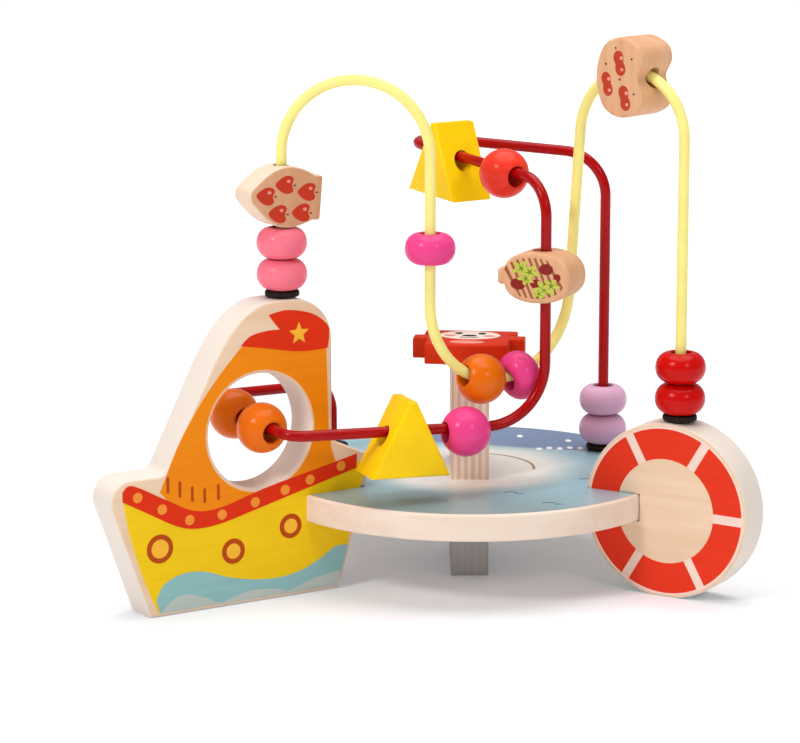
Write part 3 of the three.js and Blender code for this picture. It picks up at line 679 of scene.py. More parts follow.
def ring_field(start, end):
    """One red field, its straight ends half a gap away from the spokes."""
    inner_gap = math.degrees(math.asin(FIELD_GAP / 2 / FIELD_INNER))
    outer_gap = math.degrees(math.asin(FIELD_GAP / 2 / FIELD_OUTER))
    loop = arc_points(*RING_CENTRE, FIELD_OUTER, start + outer_gap, end - outer_gap)
    return loop + arc_points(*RING_CENTRE, FIELD_INNER, end - inner_gap, start + inner_gap)


ring_print = printer("ring_", BOARD_FRONT, "maze_frame", ring_place)
pale_ring = [circle(*RING_CENTRE, FIELD_OUTER + PALE_RIM, 4), circle(*RING_CENTRE, FIELD_INNER, 4)]
ring_print("print_ground", pale_ring, "buoy_pale", 1)
starts = range(FIELD_START, FIELD_START + 360, FIELD_ANGLE)
fields = [ring_field(start, start + FIELD_ANGLE) for start in starts]
ring_print("print", fields, "buoy_red", 2)
print("ring fields:", len(fields))

# %% [markdown]
# The tray is a turned disc with a soft rim. A disc could be sawn like the boards, but a lathe shape, a
# profile swept round an axis, gives an even rim all round, and the beads need it as well.


# %% Tray
def lathe_mesh(name, profile, sides=64, closed=True):
    """A profile of (radius, height) in millimetres, swept round Z."""
    rings = []
    vertices = []
    for radius, height in profile:
        if radius < 1e-6:
            rings.append([len(vertices)] * sides)
            vertices.append((0, 0, height * MM))
            continue
        rings.append(list(range(len(vertices), len(vertices) + sides)))
        for i in range(sides):
            angle = 2 * math.pi * i / sides
            vertices.append((radius * math.cos(angle) * MM, radius * math.sin(angle) * MM, height * MM))
    spans = list(zip(rings, rings[1:]))
    if closed:
        spans.append((rings[-1], rings[0]))
    faces = []
    for low, high in spans:
        for i in range(sides):
            j = (i + 1) % sides
            corners = [low[i], low[j], high[j], high[i]]
            faces.append(list(dict.fromkeys(corners)))
    mesh = bpy.data.meshes.new(name)
    mesh.from_pydata(vertices, [], [face for face in faces if len(face) > 2])
    return weld(mesh)


tray_floor = TRAY_TOP - TRAY_THICKNESS
rim_middle = TRAY_RADIUS - EDGE_ROUND
tray_profile = [(0, tray_floor)]
tray_profile += arc_points(rim_middle, tray_floor + EDGE_ROUND, EDGE_ROUND, -90, 0, 18)
tray_profile += arc_points(rim_middle, TRAY_TOP - EDGE_ROUND, EDGE_ROUND, 0, 90, 18)
tray_profile += [(0, TRAY_TOP)]
tray_mesh = lathe_mesh("tray_board", tray_profile, 160, closed=False)
tray_board = add_piece("tray_board", tray_mesh, tray_wood, "maze_frame")
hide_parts("tray")
print("tray faces:", len(tray_mesh.polygons))

# %% [markdown]
# The tray's top is printed like a shore: pale sand round the post, light water, and deeper water at the
# back. Those colours run into each other, which ink layers can't do, so this one print is painted in the
# shader, by the distance from the post. The water also darkens towards the front left; that darkening is
# painted shade, where the ship's shadow falls. Distances in a shader are in metres.

# %% Shore print
SAND_FADE, DEEP_EDGE, FRONT_SHADE_FADE = (0.033, 0.052), (0.0425, 0.0445), (0.02, 0.075)
SHORE_MARGIN = 0.1
shore = Finish("shore_print", Coat_Weight=0.3, Coat_Roughness=0.12)
from_post = shore.length(shore.stretched((1, 1, 0)))
across = shore.part(shore.place(), "X")
depth = shore.part(shore.place(), "Y")
swell = shore.noise(28.0, 2.0)
sand = 1 - (from_post + swell * 0.014).step(*SAND_FADE)
deep = (depth + across * 0.3 + swell * 0.006).step(*DEEP_EDGE)
# Painted shade: the water darkens towards the front left, where the ship's shadow falls.
front_shade = (0 - depth - across * 0.25).step(*FRONT_SHADE_FADE)
tint = shore.noise(40.0, 1.0)
water = shore.mix(tint.step(0.3, 0.7), srgb(162, 201, 212), srgb(150, 190, 204))
water = shore.mix(front_shade, water, srgb(132, 158, 162))
water = shore.mix(deep, water, srgb(116, 138, 176))
water = shore.mix(sand, water, srgb(252, 249, 242))
shore.set(Base_Color=water, Roughness=0.24 + tint * 0.1)
shore_radius = rim_middle - SHORE_MARGIN
shore_low, shore_high = TRAY_TOP - INK_ROOT, TRAY_TOP + INK_STEP
shore_profile = [(0, shore_low), (shore_radius, shore_low), (shore_radius, shore_high), (0, shore_high)]
shore_mesh = lathe_mesh("tray_print", shore_profile, 120, closed=False)
add_piece("tray_print", shore_mesh, shore.material, "maze_frame")
print("shore radius:", round(shore_radius, 1), "mm")

# %% [markdown]
# A few small marks finish the shore: the thin edge of the sand, a row of foam along the deep water, and
# short ripples. They have crisp edges, so they are ink layers again.

# %% Tray marks
SAND_RADIUS = 24.6
RIPPLE_RIGHT, RIPPLE_DOWN = 3.6, 1.4


def curved_bar(x, y, radius, start, end, width):
    outer = arc_points(x, y, radius + width / 2, start, end)
    return outer + arc_points(x, y, radius - width / 2, end, start)


tray_print = printer("tray_print_", TRAY_TOP, "maze_frame", Matrix())
tray_print("sand_edge", [curved_bar(0, 0, SAND_RADIUS, -8, 84, 1.1)], "sand_line", 2)
foam_spots = [(28 + 4 * i, 31.5 + 0.3 * i + 1.2 * (i % 2)) for i in range(5)] + [(21.3, 54.3), (40, 46)]
foam_loops = [oval(x, y, 1.2, 2.2, 24) for x, y in foam_spots]
tray_print("foam", foam_loops, "white", 2)
ripples = [(14.2, -43.0), (27.7, -59.4), (43.2, -22.0)]
ripple_loops = [curved_bar(x, y, 3.4, 40, 135, 0.8) for x, y in ripples]
ripple_loops += [curved_bar(x + RIPPLE_RIGHT, y - RIPPLE_DOWN, 2.4, 50, 130, 0.7) for x, y in ripples]
tray_print("ripples", ripple_loops, "navy", 2)
print("tray marks:", len(foam_loops) + len(ripple_loops) + 1)

# %% [markdown]
# The post is a plank of plywood on end. Its narrow front shows the edges of the plies as fine upright
# lines. Modelled strips would be too many faces for that, so its finish counts plies across the thickness.
# Below the tray its grey is painted shade. The pin that holds the plate keeps its CAD shape.

# %% Post
FIT_GAP = 0.3
POST_THICKNESS, POST_DEPTH, POST_ROUND = 14.0, 40.0, 0.6
PLATE_TOP = 87.6
PLATE_THICKNESS = 8.0
PLY, PLY_RELIEF = 1.33, 0.04
FOOT_SHADE_EDGE = (0.018, 0.028)
post_top = PLATE_TOP - PLATE_THICKNESS - FIT_GAP
post_outline = rectangle(POST_THICKNESS / 2, POST_DEPTH / 2)
post_mesh = sawn_mesh("post_plank", [post_outline], 0, post_top, POST_ROUND)
plies = Finish("ply_edges", Coat_Weight=0.05)
wander = plies.noise(1.0, 2.0, plies.stretched((60, 60, 12)))
ply_count = (plies.part(plies.place(), "X") + wander * 0.0005) / (2 * PLY * MM)
ply_line = plies.node("Math", {"operation": "PINGPONG"}, {0: ply_count, 1: 0.5})
ply_tone = ply_line.step(0.16, 0.34)
fibre = plies.noise(1.0, 3.0, plies.stretched((900, 900, 40)))
ply_colour = plies.mix(ply_tone, srgb(244, 224, 208), srgb(222, 194, 174))
ply_colour = plies.mix(fibre.step(0.35, 0.8) * 0.35, ply_colour, srgb(206, 174, 152))
# Painted shade: below the tray the plies fade to grey, standing in for the shadow under the tray.
painted_foot_shade = (1 - plies.part(plies.place(), "Z").step(*FOOT_SHADE_EDGE)) * 0.85
plies.set(
    Base_Color=plies.mix(painted_foot_shade, ply_colour, srgb(164, 165, 168)),
    Roughness=0.5 + fibre * 0.15,
    Normal=plies.bump(ply_tone + fibre * 0.5, PLY_RELIEF * MM, 0.5),
)
post = add_piece("post_plank", post_mesh, plies.material, "maze_frame")
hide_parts("centre_post")
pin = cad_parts["plate_pin"]
pin.data.materials.clear()
pin.data.materials.append(pin_wood)
print("post height:", round(post_top, 1), "mm")

# %% [markdown]
# The figure plate is a little figure lying on the post: two feet to the front, stretched arms, and a head
# with square ears. Its face is our own: a pale patch, two round eyes, a nose and a smile. One half of the
# outline is drawn, and the other half is its mirror image, so both sides match.

# %% Figure plate
PLATE_TURN, PLATE_ROUND = -6.0, 0.8
PLATE_FRONT, PLATE_BACK = -15.5, 12.0
ARM_FRONT, ARM_BACK, EAR_FRONT = -4.0, 2.5, 6.0
FEET, ARMS, NECK, EARS, BELLY, FOOT_WIDTH = 15.5, 21.0, 14.0, 17.5, 2.0, 6.0
plate_place = Matrix.Rotation(math.radians(PLATE_TURN), 4, "Z")
neck_middle = (ARM_BACK + EAR_FRONT) / 2
belly_half = FEET - FOOT_WIDTH
belly_bend = (0, PLATE_FRONT - 2 * BELLY)
plate_right = [(FEET, PLATE_FRONT), (FEET, ARM_FRONT), (ARMS, ARM_FRONT)]
plate_right += quadratic_points((ARMS, ARM_BACK), (NECK, ARM_BACK), (NECK, neck_middle))[:-1]
plate_right += quadratic_points((NECK, neck_middle), (NECK, EAR_FRONT), (EARS, EAR_FRONT))
plate_right += [(EARS, PLATE_BACK)]
plate_outline = quadratic_points((-belly_half, PLATE_FRONT), belly_bend, (belly_half, PLATE_FRONT))
plate_outline += plate_right + [(-px, py) for px, py in plate_right[::-1]]
plate_mesh = sawn_mesh("figure_board", [plate_outline], PLATE_TOP - PLATE_THICKNESS, PLATE_TOP, PLATE_ROUND)
plate_paint = print_finish("plate_red_ink", srgb(214, 52, 16))
plate = add_piece("figure_board", plate_mesh, plate_paint, "maze_frame", plate_place)
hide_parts("figure_plate")
plate_print = printer("figure_print_", PLATE_TOP, "maze_frame", plate_place)
plate_print("patch", [oval(0, 2.0, 11.5, 8.2)], "cream", 1)
plate_print("belly", [oval(0, -11.5, 6.5, 3.0)], "blush", 1)
plate_print("cheeks", [oval(x, 0.6, 2.2, 1.7) for x in (-7.4, 7.4)], "blush", 2)
face_loops = [oval(x, 5.4, 1.5, 1.8) for x in (-4.4, 4.4)]
face_loops += [oval(0, 0.8, 2.8, 1.7), curved_bar(0, 0.6, 4.2, 215, 325, 0.8)]
plate_print("face", face_loops, "black", 2)
print("plate outline points:", len(plate_outline))

# %% [markdown]
# A wire is a path of straight runs and round bends. A Bezier curve could only come near to a round bend,
# so each bend is laid out as a true arc, in small steps, and the enamel's highlight runs smoothly round
# it. The runs and bends are kept, because the beads are threaded on them later.

# %% Bending wire
BEND_STEP = 4.0
SAME_POINT = 0.05


def bend_wire(corners, radii):
    """The centre line of a bent wire: its points, straight runs and bends."""
    corners = [Vector(corner) for corner in corners]
    points, runs, bends = [corners[0]], [], []
    start = corners[0]
    for before, corner, after, radius in zip(corners, corners[1:], corners[2:], radii):
        inward = (corner - before).normalized()
        outward = (after - corner).normalized()
        angle = inward.angle(outward)
        setback = radius * math.tan(angle / 2)
        bend_start = corner - inward * setback
        axis = inward.cross(outward).normalized()
        centre = bend_start + axis.cross(inward) * radius
        runs.append((start, inward))
        bends.append((centre, axis, radius))
        count = math.ceil(math.degrees(angle) / BEND_STEP)
        for i in range(count + 1):
            turn = Matrix.Rotation(angle * i / count, 3, axis)
            points.append(centre + turn @ (bend_start - centre))
        start = corner + outward * setback
    runs.append((start, (corners[-1] - start).normalized()))
    points.append(corners[-1])
    kept = [p for i, p in enumerate(points) if i == 0 or (p - points[i - 1]).length > SAME_POINT]
    return kept, runs, bends


def on_board(angle, out, height):
    """A point in the middle of a board's thickness."""
    turn = Matrix.Rotation(math.radians(angle), 3, "Z")
    return turn @ Vector((out, -(BOARD_FRONT + BOARD_BACK) / 2, height))


print("bends have a step of", BEND_STEP, "degrees")

# %% [markdown]
# The yellow wire goes from the ship over an arch, through a dip in front of the plate and over a second
# arch to the ring buoy. Each arch is a half circle, so its radius is half the way between its legs.

# %% Yellow wire path
SOCKET_DEPTH = 8.0
SHIP_SOCKET, RING_SOCKET = -80.1, 87.3
FIRST_ARCH, SECOND_ARCH, DIP = 189.0, 190.0, 78.2
NEAR_LEG = (-15.3, -50.0)
FAR_LEG_FOOT, FAR_LEG_HEAD = (34.7, -15), (41.5, -12)
ship_end = on_board(SHIP_ANGLE, SHIP_SOCKET, SHIP_HEIGHT - SOCKET_DEPTH)
ring_end = on_board(RING_ANGLE, RING_SOCKET, RING_CENTRE[1] + RING_RADIUS - SOCKET_DEPTH)
yellow_corners = [
    ship_end, (ship_end.x, ship_end.y, FIRST_ARCH), (*NEAR_LEG, FIRST_ARCH), (*NEAR_LEG, DIP),
    (*FAR_LEG_FOOT, DIP), (*FAR_LEG_HEAD, SECOND_ARCH), (ring_end.x, ring_end.y, SECOND_ARCH), ring_end,
]


def half_span(first):
    """Half the way from one corner of the yellow wire to the next."""
    return (Vector(yellow_corners[first + 1]) - Vector(yellow_corners[first])).length / 2


arch_radii = [half_span(first) for first in (1, 1, 3, 3, 5, 5)]
yellow_points, _, yellow_bends = bend_wire(yellow_corners, arch_radii)
print("yellow wire points:", len(yellow_points))

# %% [markdown]
# The red wire rises from the tray, makes a loop above it, comes down in front and runs through the ship's
# hole back to the tray. Its corners are the CAD model's own, so that the beads stay in line. A tube could be
# swept by hand, but a curve's round bevel gives both wires their thickness.

# %% Red wire path and rods
WIRE_RADIUS = 2.0
RIGHT_LEG, LEFT_LEG, FRONT_LEG = (52.5, 31.5), (-52.5, 31.5), (26.8, -36.0)
RIGHT_TOP, FRONT_TOP, FRONT_LOW, LEFT_TOP = 152, 151, 62, 63
LOOP_BACK = (-33.5, 56, 157.5)
RED_RADII = (17, 11, 14, 22, 8, 9, 12)
HOLE_FRONT_HEIGHT, HOLE_FRONT_REACH = 64.7, 27.5
HOLE_BACK_HEIGHT, HOLE_BACK_REACH = 69, 32.5
ship_turn = math.radians(SHIP_ANGLE)
through_ship = Vector((-math.sin(ship_turn), math.cos(ship_turn), 0))
hole_front = on_board(SHIP_ANGLE, SHIP_HOLE[0], HOLE_FRONT_HEIGHT) - through_ship * HOLE_FRONT_REACH
hole_back = on_board(SHIP_ANGLE, SHIP_HOLE[0], HOLE_BACK_HEIGHT) + through_ship * HOLE_BACK_REACH
tray_right = Vector((*RIGHT_LEG, TRAY_TOP - SOCKET_DEPTH))
tray_left = Vector((*LEFT_LEG, TRAY_TOP - SOCKET_DEPTH))
red_corners = [
    tray_right, (*RIGHT_LEG, RIGHT_TOP), LOOP_BACK, (*FRONT_LEG, FRONT_TOP), (*FRONT_LEG, FRONT_LOW),
    hole_front, hole_back, (*LEFT_LEG, LEFT_TOP), tray_left,
]
red_points, red_runs, _ = bend_wire(red_corners, RED_RADII)


def wire_mesh(name, points):
    curve = bpy.data.curves.new(name, "CURVE")
    curve.dimensions = "3D"
    curve.bevel_depth = WIRE_RADIUS * MM
    curve.bevel_resolution = 6
    curve.use_fill_caps = True
    add_line(curve, [point * MM for point in points], closed=False)
    return weld(mesh_of(curve, name))


for name, points in (("yellow_wire", yellow_points), ("red_wire", red_points)):
    wire = add_piece(name + "_rod", wire_mesh(name, points), wire_finishes[name], "maze_frame")
    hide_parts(name)
    print(name, "points:", len(points))

# %% [markdown]
# A rubber stopper sits round each wire end. A torus would be too round: the real one is a small ring with
# rolled edges, so it is a lathe shape.

# %% Stoppers
STOPPER_HEIGHT = 2.2
STOPPER_RADIUS = 6.3
STOPPER_BORE = 2.3
STOPPER_ROLL = 0.8
roll_middle = STOPPER_RADIUS - STOPPER_ROLL
stopper_profile = [(STOPPER_BORE, 0), (roll_middle, 0)]
stopper_profile += arc_points(roll_middle, STOPPER_ROLL, STOPPER_ROLL, -90, 0, 22)
stopper_profile += arc_points(roll_middle, STOPPER_HEIGHT - STOPPER_ROLL, STOPPER_ROLL, 0, 90, 22)
stopper_profile += [(STOPPER_BORE, STOPPER_HEIGHT)]
ends = {
    "stopper_ship": ship_end, "stopper_ring": ring_end,
    "stopper_tray_right": tray_right, "stopper_tray_left": tray_left,
}
for node, end in ends.items():
    name = node + "_rubber"
    seat = Matrix.Translation(Vector((end.x, end.y, end.z + SOCKET_DEPTH + FIT_GAP)) * MM)
    stopper_mesh = lathe_mesh(name, stopper_profile, 48)
    stopper = add_piece(name, stopper_mesh, rubber.material, "maze_frame", seat)
    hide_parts(node)
print("stoppers:", len(ends))

# %% [markdown]
# The turned beads come in two forms: balls, and flat discs with round sides. Both have a wide bore with a
# rolled lip. A ball with a Boolean bore would have a sharp lip, so each bead is a lathe shape whose profile
# has the bore and the lip in it.

# %% Bead profiles
BORE = 3.75
BEAD_RADIUS = 9.2
DISC_LENGTH = 11.2
LIP = 0.6
LIP_FALL = 0.1
ball_half = math.sqrt(BEAD_RADIUS ** 2 - (BORE + LIP) ** 2)
disc_half = DISC_LENGTH / 2


def bore_profile(half):
    """The rolled lips and the bore between them, from the top of a bead to its foot."""
    lip_edge = BORE + LIP * 0.6
    top = quadratic_points((lip_edge, half), (BORE, half - LIP_FALL), (BORE, half - LIP), 4)
    return top + quadratic_points((BORE, LIP - half), (BORE, LIP_FALL - half), (lip_edge, -half), 4)


lip_angle = math.degrees(math.asin(ball_half / BEAD_RADIUS))
ball_profile = arc_points(0, 0, BEAD_RADIUS, -lip_angle, lip_angle, 6) + bore_profile(ball_half)
disc_core = BORE + LIP
disc_side = [
    (disc_core + (BEAD_RADIUS - BORE - LIP) * px, disc_half * py)
    for px, py in arc_points(0, 0, 1, -90, 90, 7.5)
]
disc_profile = disc_side + bore_profile(disc_half)
print("profile points:", len(ball_profile), "and", len(disc_profile))

# %% [markdown]
# A bead's bore is wider than the wire, so a bead isn't centred on it: it hangs with the top of its bore on
# the wire, or leans on an upright wire. These functions give a bead's middle and the direction of its bore.

# %% Bead places
BEARING = BORE - WIRE_RADIUS - FIT_GAP
UP = Vector((0, 0, 1))
ALONG = Vector((1, 0, 0))


def frame_of(x_axis, y_axis, z_axis, place):
    turn = Matrix((x_axis, y_axis, z_axis)).transposed().to_4x4()
    return Matrix.Translation(place * MM) @ turn


def turned_place(place, direction):
    side = ALONG if abs(direction.z) > 0.9 else UP
    x_axis = side.cross(direction).normalized()
    return frame_of(x_axis, direction.cross(x_axis), direction, place)


def hang_place(run, along):
    """A bead on a straight run, some way along it."""
    start, direction = run
    drop = (UP - direction * UP.dot(direction)).normalized()
    return start + direction * along - drop * BEARING, direction


def dip_place(bend, angle, half_length):
    """A bead in a bend, at an angle from the bend's lowest point."""
    centre, axis, radius = bend
    outward = Matrix.Rotation(math.radians(angle), 3, axis) @ -UP
    rise = radius - math.sqrt(radius ** 2 - half_length ** 2)
    return centre + outward * (radius + BEARING - rise), outward.cross(axis).normalized()


def stack_place(end, index):
    """The middle of a disc in the stack on a stopper."""
    foot = SOCKET_DEPTH + STOPPER_HEIGHT + 2 * FIT_GAP + index * (DISC_LENGTH + FIT_GAP)
    return Vector((end.x, end.y, end.z + foot + disc_half))


print("bearing:", round(BEARING, 2), "mm")

# %% [markdown]
# Now the turned beads are threaded on: three stacks of two discs, a disc on the near leg, two beads in the
# dip, and four balls on the red wire's runs. Copies could share a mesh, but a mesh of its own keeps each
# bead a piece that can be changed alone.

# %% Turned beads
BEAD_SIDES = 56
DIP_ANGLE = 14.2
LEG_BEAD_HEIGHT = 128.8


def add_turned(node, profile, paint, place, direction):
    mesh = lathe_mesh(node + "_turned", profile, BEAD_SIDES)
    slot = ("red" if paint == "coral" else paint) + "_paint"
    bead = add_piece(node + "_turned", mesh, paints[paint], node, turned_place(place, direction))
    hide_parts(node)
    return bead


beads = []
for colour, end in {"pink": ship_end, "red": ring_end, "lilac": tray_right}.items():
    for index, level in enumerate(("lower", "upper")):
        beads.append(add_turned(f"{colour}_bead_{level}", disc_profile, colour, stack_place(end, index), UP))
leg_place = Vector((NEAR_LEG[0], NEAR_LEG[1] + BEARING, LEG_BEAD_HEIGHT))
beads.append(add_turned("magenta_bead_leg", disc_profile, "magenta", leg_place, UP))
ball_seat = dip_place(yellow_bends[2], -DIP_ANGLE, ball_half)
beads.append(add_turned("orange_ball_dip", ball_profile, "orange", *ball_seat))
disc_seat = dip_place(yellow_bends[3], DIP_ANGLE, disc_half)
beads.append(add_turned("magenta_bead_dip", disc_profile, "magenta", *disc_seat))
loop_run, front_run, hole_run = red_runs[2], red_runs[4], red_runs[5]
hole_middle = -hole_run[0].dot(through_ship) / hole_run[1].dot(through_ship)
hung_balls = [
    ("red_ball_loop", "coral", loop_run, 54),
    ("magenta_ball_front", "magenta", front_run, 8.5),
    ("orange_ball_hole_front", "orange", hole_run, hole_middle - 7),
    ("orange_ball_hole_back", "orange", hole_run, hole_middle + 13.4),
]
for node, paint, run, along in hung_balls:
    beads.append(add_turned(node, ball_profile, paint, *hang_place(run, along)))
print("turned beads:", len(beads))

# %% [markdown]
# The shaped beads are sawn from board, then bored. The bore runs across the board's thickness, so it can't
# be part of the outline. It is cut with a Boolean modifier, whose result is kept as the bead's mesh.

# %% Shaped beads
CUTTER_REACH = 60
BORED_SMOOTH_ANGLE = 40


def bored(mesh, direction):
    """Cuts a bore through the origin along an axis of the mesh."""
    rod = [(0, -CUTTER_REACH), (BORE, -CUTTER_REACH), (BORE, CUTTER_REACH), (0, CUTTER_REACH)]
    cutter_mesh = lathe_mesh("bore_cutter", rod, 48, closed=False)
    cutter_mesh.transform(UP.rotation_difference(direction).to_matrix().to_4x4())
    cutter = put_in_scene("bore_cutter", cutter_mesh)
    blank = put_in_scene("bead_blank", mesh)
    cut = blank.modifiers.new("bore", "BOOLEAN")
    cut.operation = "DIFFERENCE"
    cut.solver = "EXACT"
    cut.object = cutter
    result = settled_mesh(blank, mesh.name)
    for item in (cutter, blank):
        bpy.data.objects.remove(item)
    return weld(result, BORED_SMOOTH_ANGLE)


def sawn_place(place, direction):
    y_axis = UP.cross(direction).normalized()
    return frame_of(direction, y_axis, direction.cross(y_axis), place)


def add_sawn(node, outline, thickness, rounding, bore, finish, place):
    mesh = sawn_mesh(node + "_sawn", [outline], -thickness / 2, thickness / 2, rounding)
    mesh.transform(UPRIGHT)
    bead = add_piece(node + "_sawn", bored(mesh, bore), finish, node, place)
    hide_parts(node)


WEDGE_FOOT, WEDGE_HEAD, WEDGE_THICKNESS, WEDGE_ROUND = -14.0, 13.5, 18, 1.0
wedge_outline = [(-15, WEDGE_FOOT), (15, WEDGE_FOOT), (1.5, WEDGE_HEAD), (-1.5, WEDGE_HEAD)]
wedges = {"yellow_wedge_loop": (loop_run, 19), "yellow_wedge_front": (front_run, 32.5)}
for node, (run, along) in wedges.items():
    seat = sawn_place(*hang_place(run, along))
    add_sawn(node, wedge_outline, WEDGE_THICKNESS, WEDGE_ROUND, ALONG, paints["yellow"], seat)
print("wedges:", len(wedges))

# %% [markdown]
# The fish bead is a blunt-nosed oval with a short tail. It stands on the pink beads, faces the same way as
# the ship, and leans a little in its wide bore. Half of its outline is drawn, from the nose along the belly
# to the tail, and flipped for the back, so that both halves match.

# %% Fish bead
FISH_LENGTH, FISH_HALF, FISH_TAIL, FISH_THICKNESS, FISH_TILT = 29.6, 11.2, 3.2, 12.0, 5.0
FISH_ROUND = 0.9
nose = -0.545 * FISH_LENGTH
tail = nose + FISH_LENGTH
body_end = tail - FISH_TAIL
tail_half = 0.73 * FISH_HALF
cheek = (nose + 1.3, -3.0)
throat = (nose + 0.2 * FISH_LENGTH, -0.64 * FISH_HALF)
belly = (body_end - 0.48 * FISH_LENGTH, -1.38 * FISH_HALF)
fish_lower = bezier_points((nose, -0.5), (nose + 0.1, -1.6), (nose + 0.6, -2.4), cheek, 6)
fish_lower += bezier_points(cheek, throat, belly, (body_end, -tail_half), 20)[1:]
fish_lower += [(tail - 0.9, -tail_half), (tail - 0.25, -tail_half + 0.3), (tail, -tail_half + 1.0)]
fish_outline = fish_lower + flipped(fish_lower)
fish_height = stack_place(ship_end, 2).z - disc_half + FISH_HALF
fish_place = Matrix.Translation(Vector((ship_end.x, ship_end.y, fish_height)) * MM)
fish_place = fish_place @ Matrix.Rotation(math.radians(SHIP_ANGLE), 4, "Z")
fish_place = fish_place @ Matrix.Rotation(math.radians(FISH_TILT), 4, "Y")
add_sawn("heart_fish_bead", fish_outline, FISH_THICKNESS, FISH_ROUND, UP, fish_wood, fish_place)
print("fish outline points:", len(fish_outline))

# %% [markdown]
# Five plump hearts with a shine and a stalk are printed on the fish. A heart has no simple arc, but a short
# sum of sines and cosines draws it in one go.

# %% Fish picture
HEART_SIZE = 7.7
HEART_POINTS = 28
HEART_RISE = 2.5


def heart_loop(x, y, turn):
    """A plump heart whose tip points down, turned about its middle."""
    points = []
    for i in range(HEART_POINTS):
        t = 2 * math.pi * i / HEART_POINTS
        px = 4.2 * math.sin(t) ** 3 + 9.4 * math.sin(t)
        py = 15.5 * math.cos(t) - 3.6 * math.cos(2 * t) - 1.4 * math.cos(3 * t) - 0.6 * math.cos(4 * t)
        points.append((px * HEART_SIZE / 32, (py + HEART_RISE) * HEART_SIZE / 32))
    cos, sin = math.cos(math.radians(turn)), math.sin(math.radians(turn))
    return [(x + px * cos - py * sin, y + px * sin + py * cos) for px, py in points]


def bead_printer(bead, thickness, place):
    return printer(bead + "_print_", thickness / 2, bead, place @ UPRIGHT)


hearts = [(-10.0, 0.2, -92), (-2.4, 4.4, -88), (6.9, 2.0, -89), (-4.5, -6.1, -91), (5.1, -5.5, -87)]
fish_print = bead_printer("heart_fish_bead", FISH_THICKNESS, fish_place)
fish_print("hearts", [heart_loop(*heart) for heart in hearts], "heart", 1)
fish_print("shines", [oval(x + 1.5, y + 1.3, 0.8, 0.6, 30) for x, y, turn in hearts], "blush", 2)
fish_print("stalks", [oval(x + 4.1, y - 0.1, 0.6, 0.32, 60) for x, y, turn in hearts], "fleck", 2)
print("hearts:", len(hearts))

# %% [markdown]
# The loaf bead is a rounded block with a small stub, threaded upright on the red wire's front leg. It
# could be a lathe shape, but its two faces are flat, so it is sawn from an outline like the fish.

# %% Loaf bead
LOAF_HALF, LOAF_RISE, LOAF_THICKNESS = 14.25, 9.25, 16.0
LOAF_TURN, LOAF_HEIGHT, LOAF_ROUND = -25.0, 117, 1.1
STUB_HALF = 3
shoulder = -LOAF_HALF + 2.5
stub_edge = -LOAF_HALF + 0.8
loaf_foot, loaf_end = (0, -LOAF_RISE), (LOAF_HALF, 0)
left_bend = ((shoulder + 1, -0.8 * LOAF_RISE), (-0.4 * LOAF_HALF, -LOAF_RISE))
right_bend = ((0.6 * LOAF_HALF, -LOAF_RISE), (LOAF_HALF, -0.7 * LOAF_RISE))
loaf_lower = bezier_points((shoulder, -STUB_HALF), *left_bend, loaf_foot)
loaf_lower += bezier_points(loaf_foot, *right_bend, loaf_end)[1:]
loaf_outline = [(-LOAF_HALF, 2.2), (-LOAF_HALF, -2.2), (stub_edge, -STUB_HALF)] + loaf_lower
loaf_outline += flipped(loaf_lower)[1:] + [(stub_edge, STUB_HALF)]
loaf_place = Matrix.Translation(Vector((FRONT_LEG[0] - BEARING, FRONT_LEG[1], LOAF_HEIGHT)) * MM)
loaf_place = loaf_place @ Matrix.Rotation(math.radians(LOAF_TURN), 4, "Z")
add_sawn("striped_loaf_bead", loaf_outline, LOAF_THICKNESS, LOAF_ROUND, UP, bead_wood, loaf_place)
print("loaf outline points:", len(loaf_outline))

# %% [markdown]
# The loaf's face carries slanting stripes, leaves and dark fruit. The stripes are clipped to the face, so
# each one ends where the outline, drawn a little smaller, cuts it. Two loops that overlap in one layer
# would cut a hole, so the leaves that overlap lie in layers of their own.

# %% Loaf picture
STRIPE_WIDTH, STRIPE_LEAN = 0.95, -6.0
LEAF_LOBES = 5
LEAF_POINTS = 40


def loaf_edge(x):
    """Half the height of the printed field at a place along the loaf."""
    inner = max(0.0, 1 - (x / (LOAF_HALF - 2.2)) ** 2)
    return (LOAF_RISE - 1.8) * inner ** 0.42


def slant_stripe(x):
    """A stripe that leans to the left, cut off at the printed field's edge."""
    sides = []
    for side in (x - STRIPE_WIDTH / 2, x + STRIPE_WIDTH / 2):
        head, foot = side + STRIPE_LEAN * 0.5, side - STRIPE_LEAN * 0.5
        sides.append(((foot, -loaf_edge(foot)), (head, loaf_edge(head))))
    return [sides[0][0], sides[1][0], sides[1][1], sides[0][1]]


def leaf_loop(x, y, size, turn):
    """A small frilled leaf."""
    points = []
    for i in range(LEAF_POINTS):
        angle = 2 * math.pi * i / LEAF_POINTS
        reach = size * (0.72 + 0.28 * math.cos(LEAF_LOBES * angle + turn))
        points.append((x + 1.25 * reach * math.cos(angle), y + 0.9 * reach * math.sin(angle)))
    return points


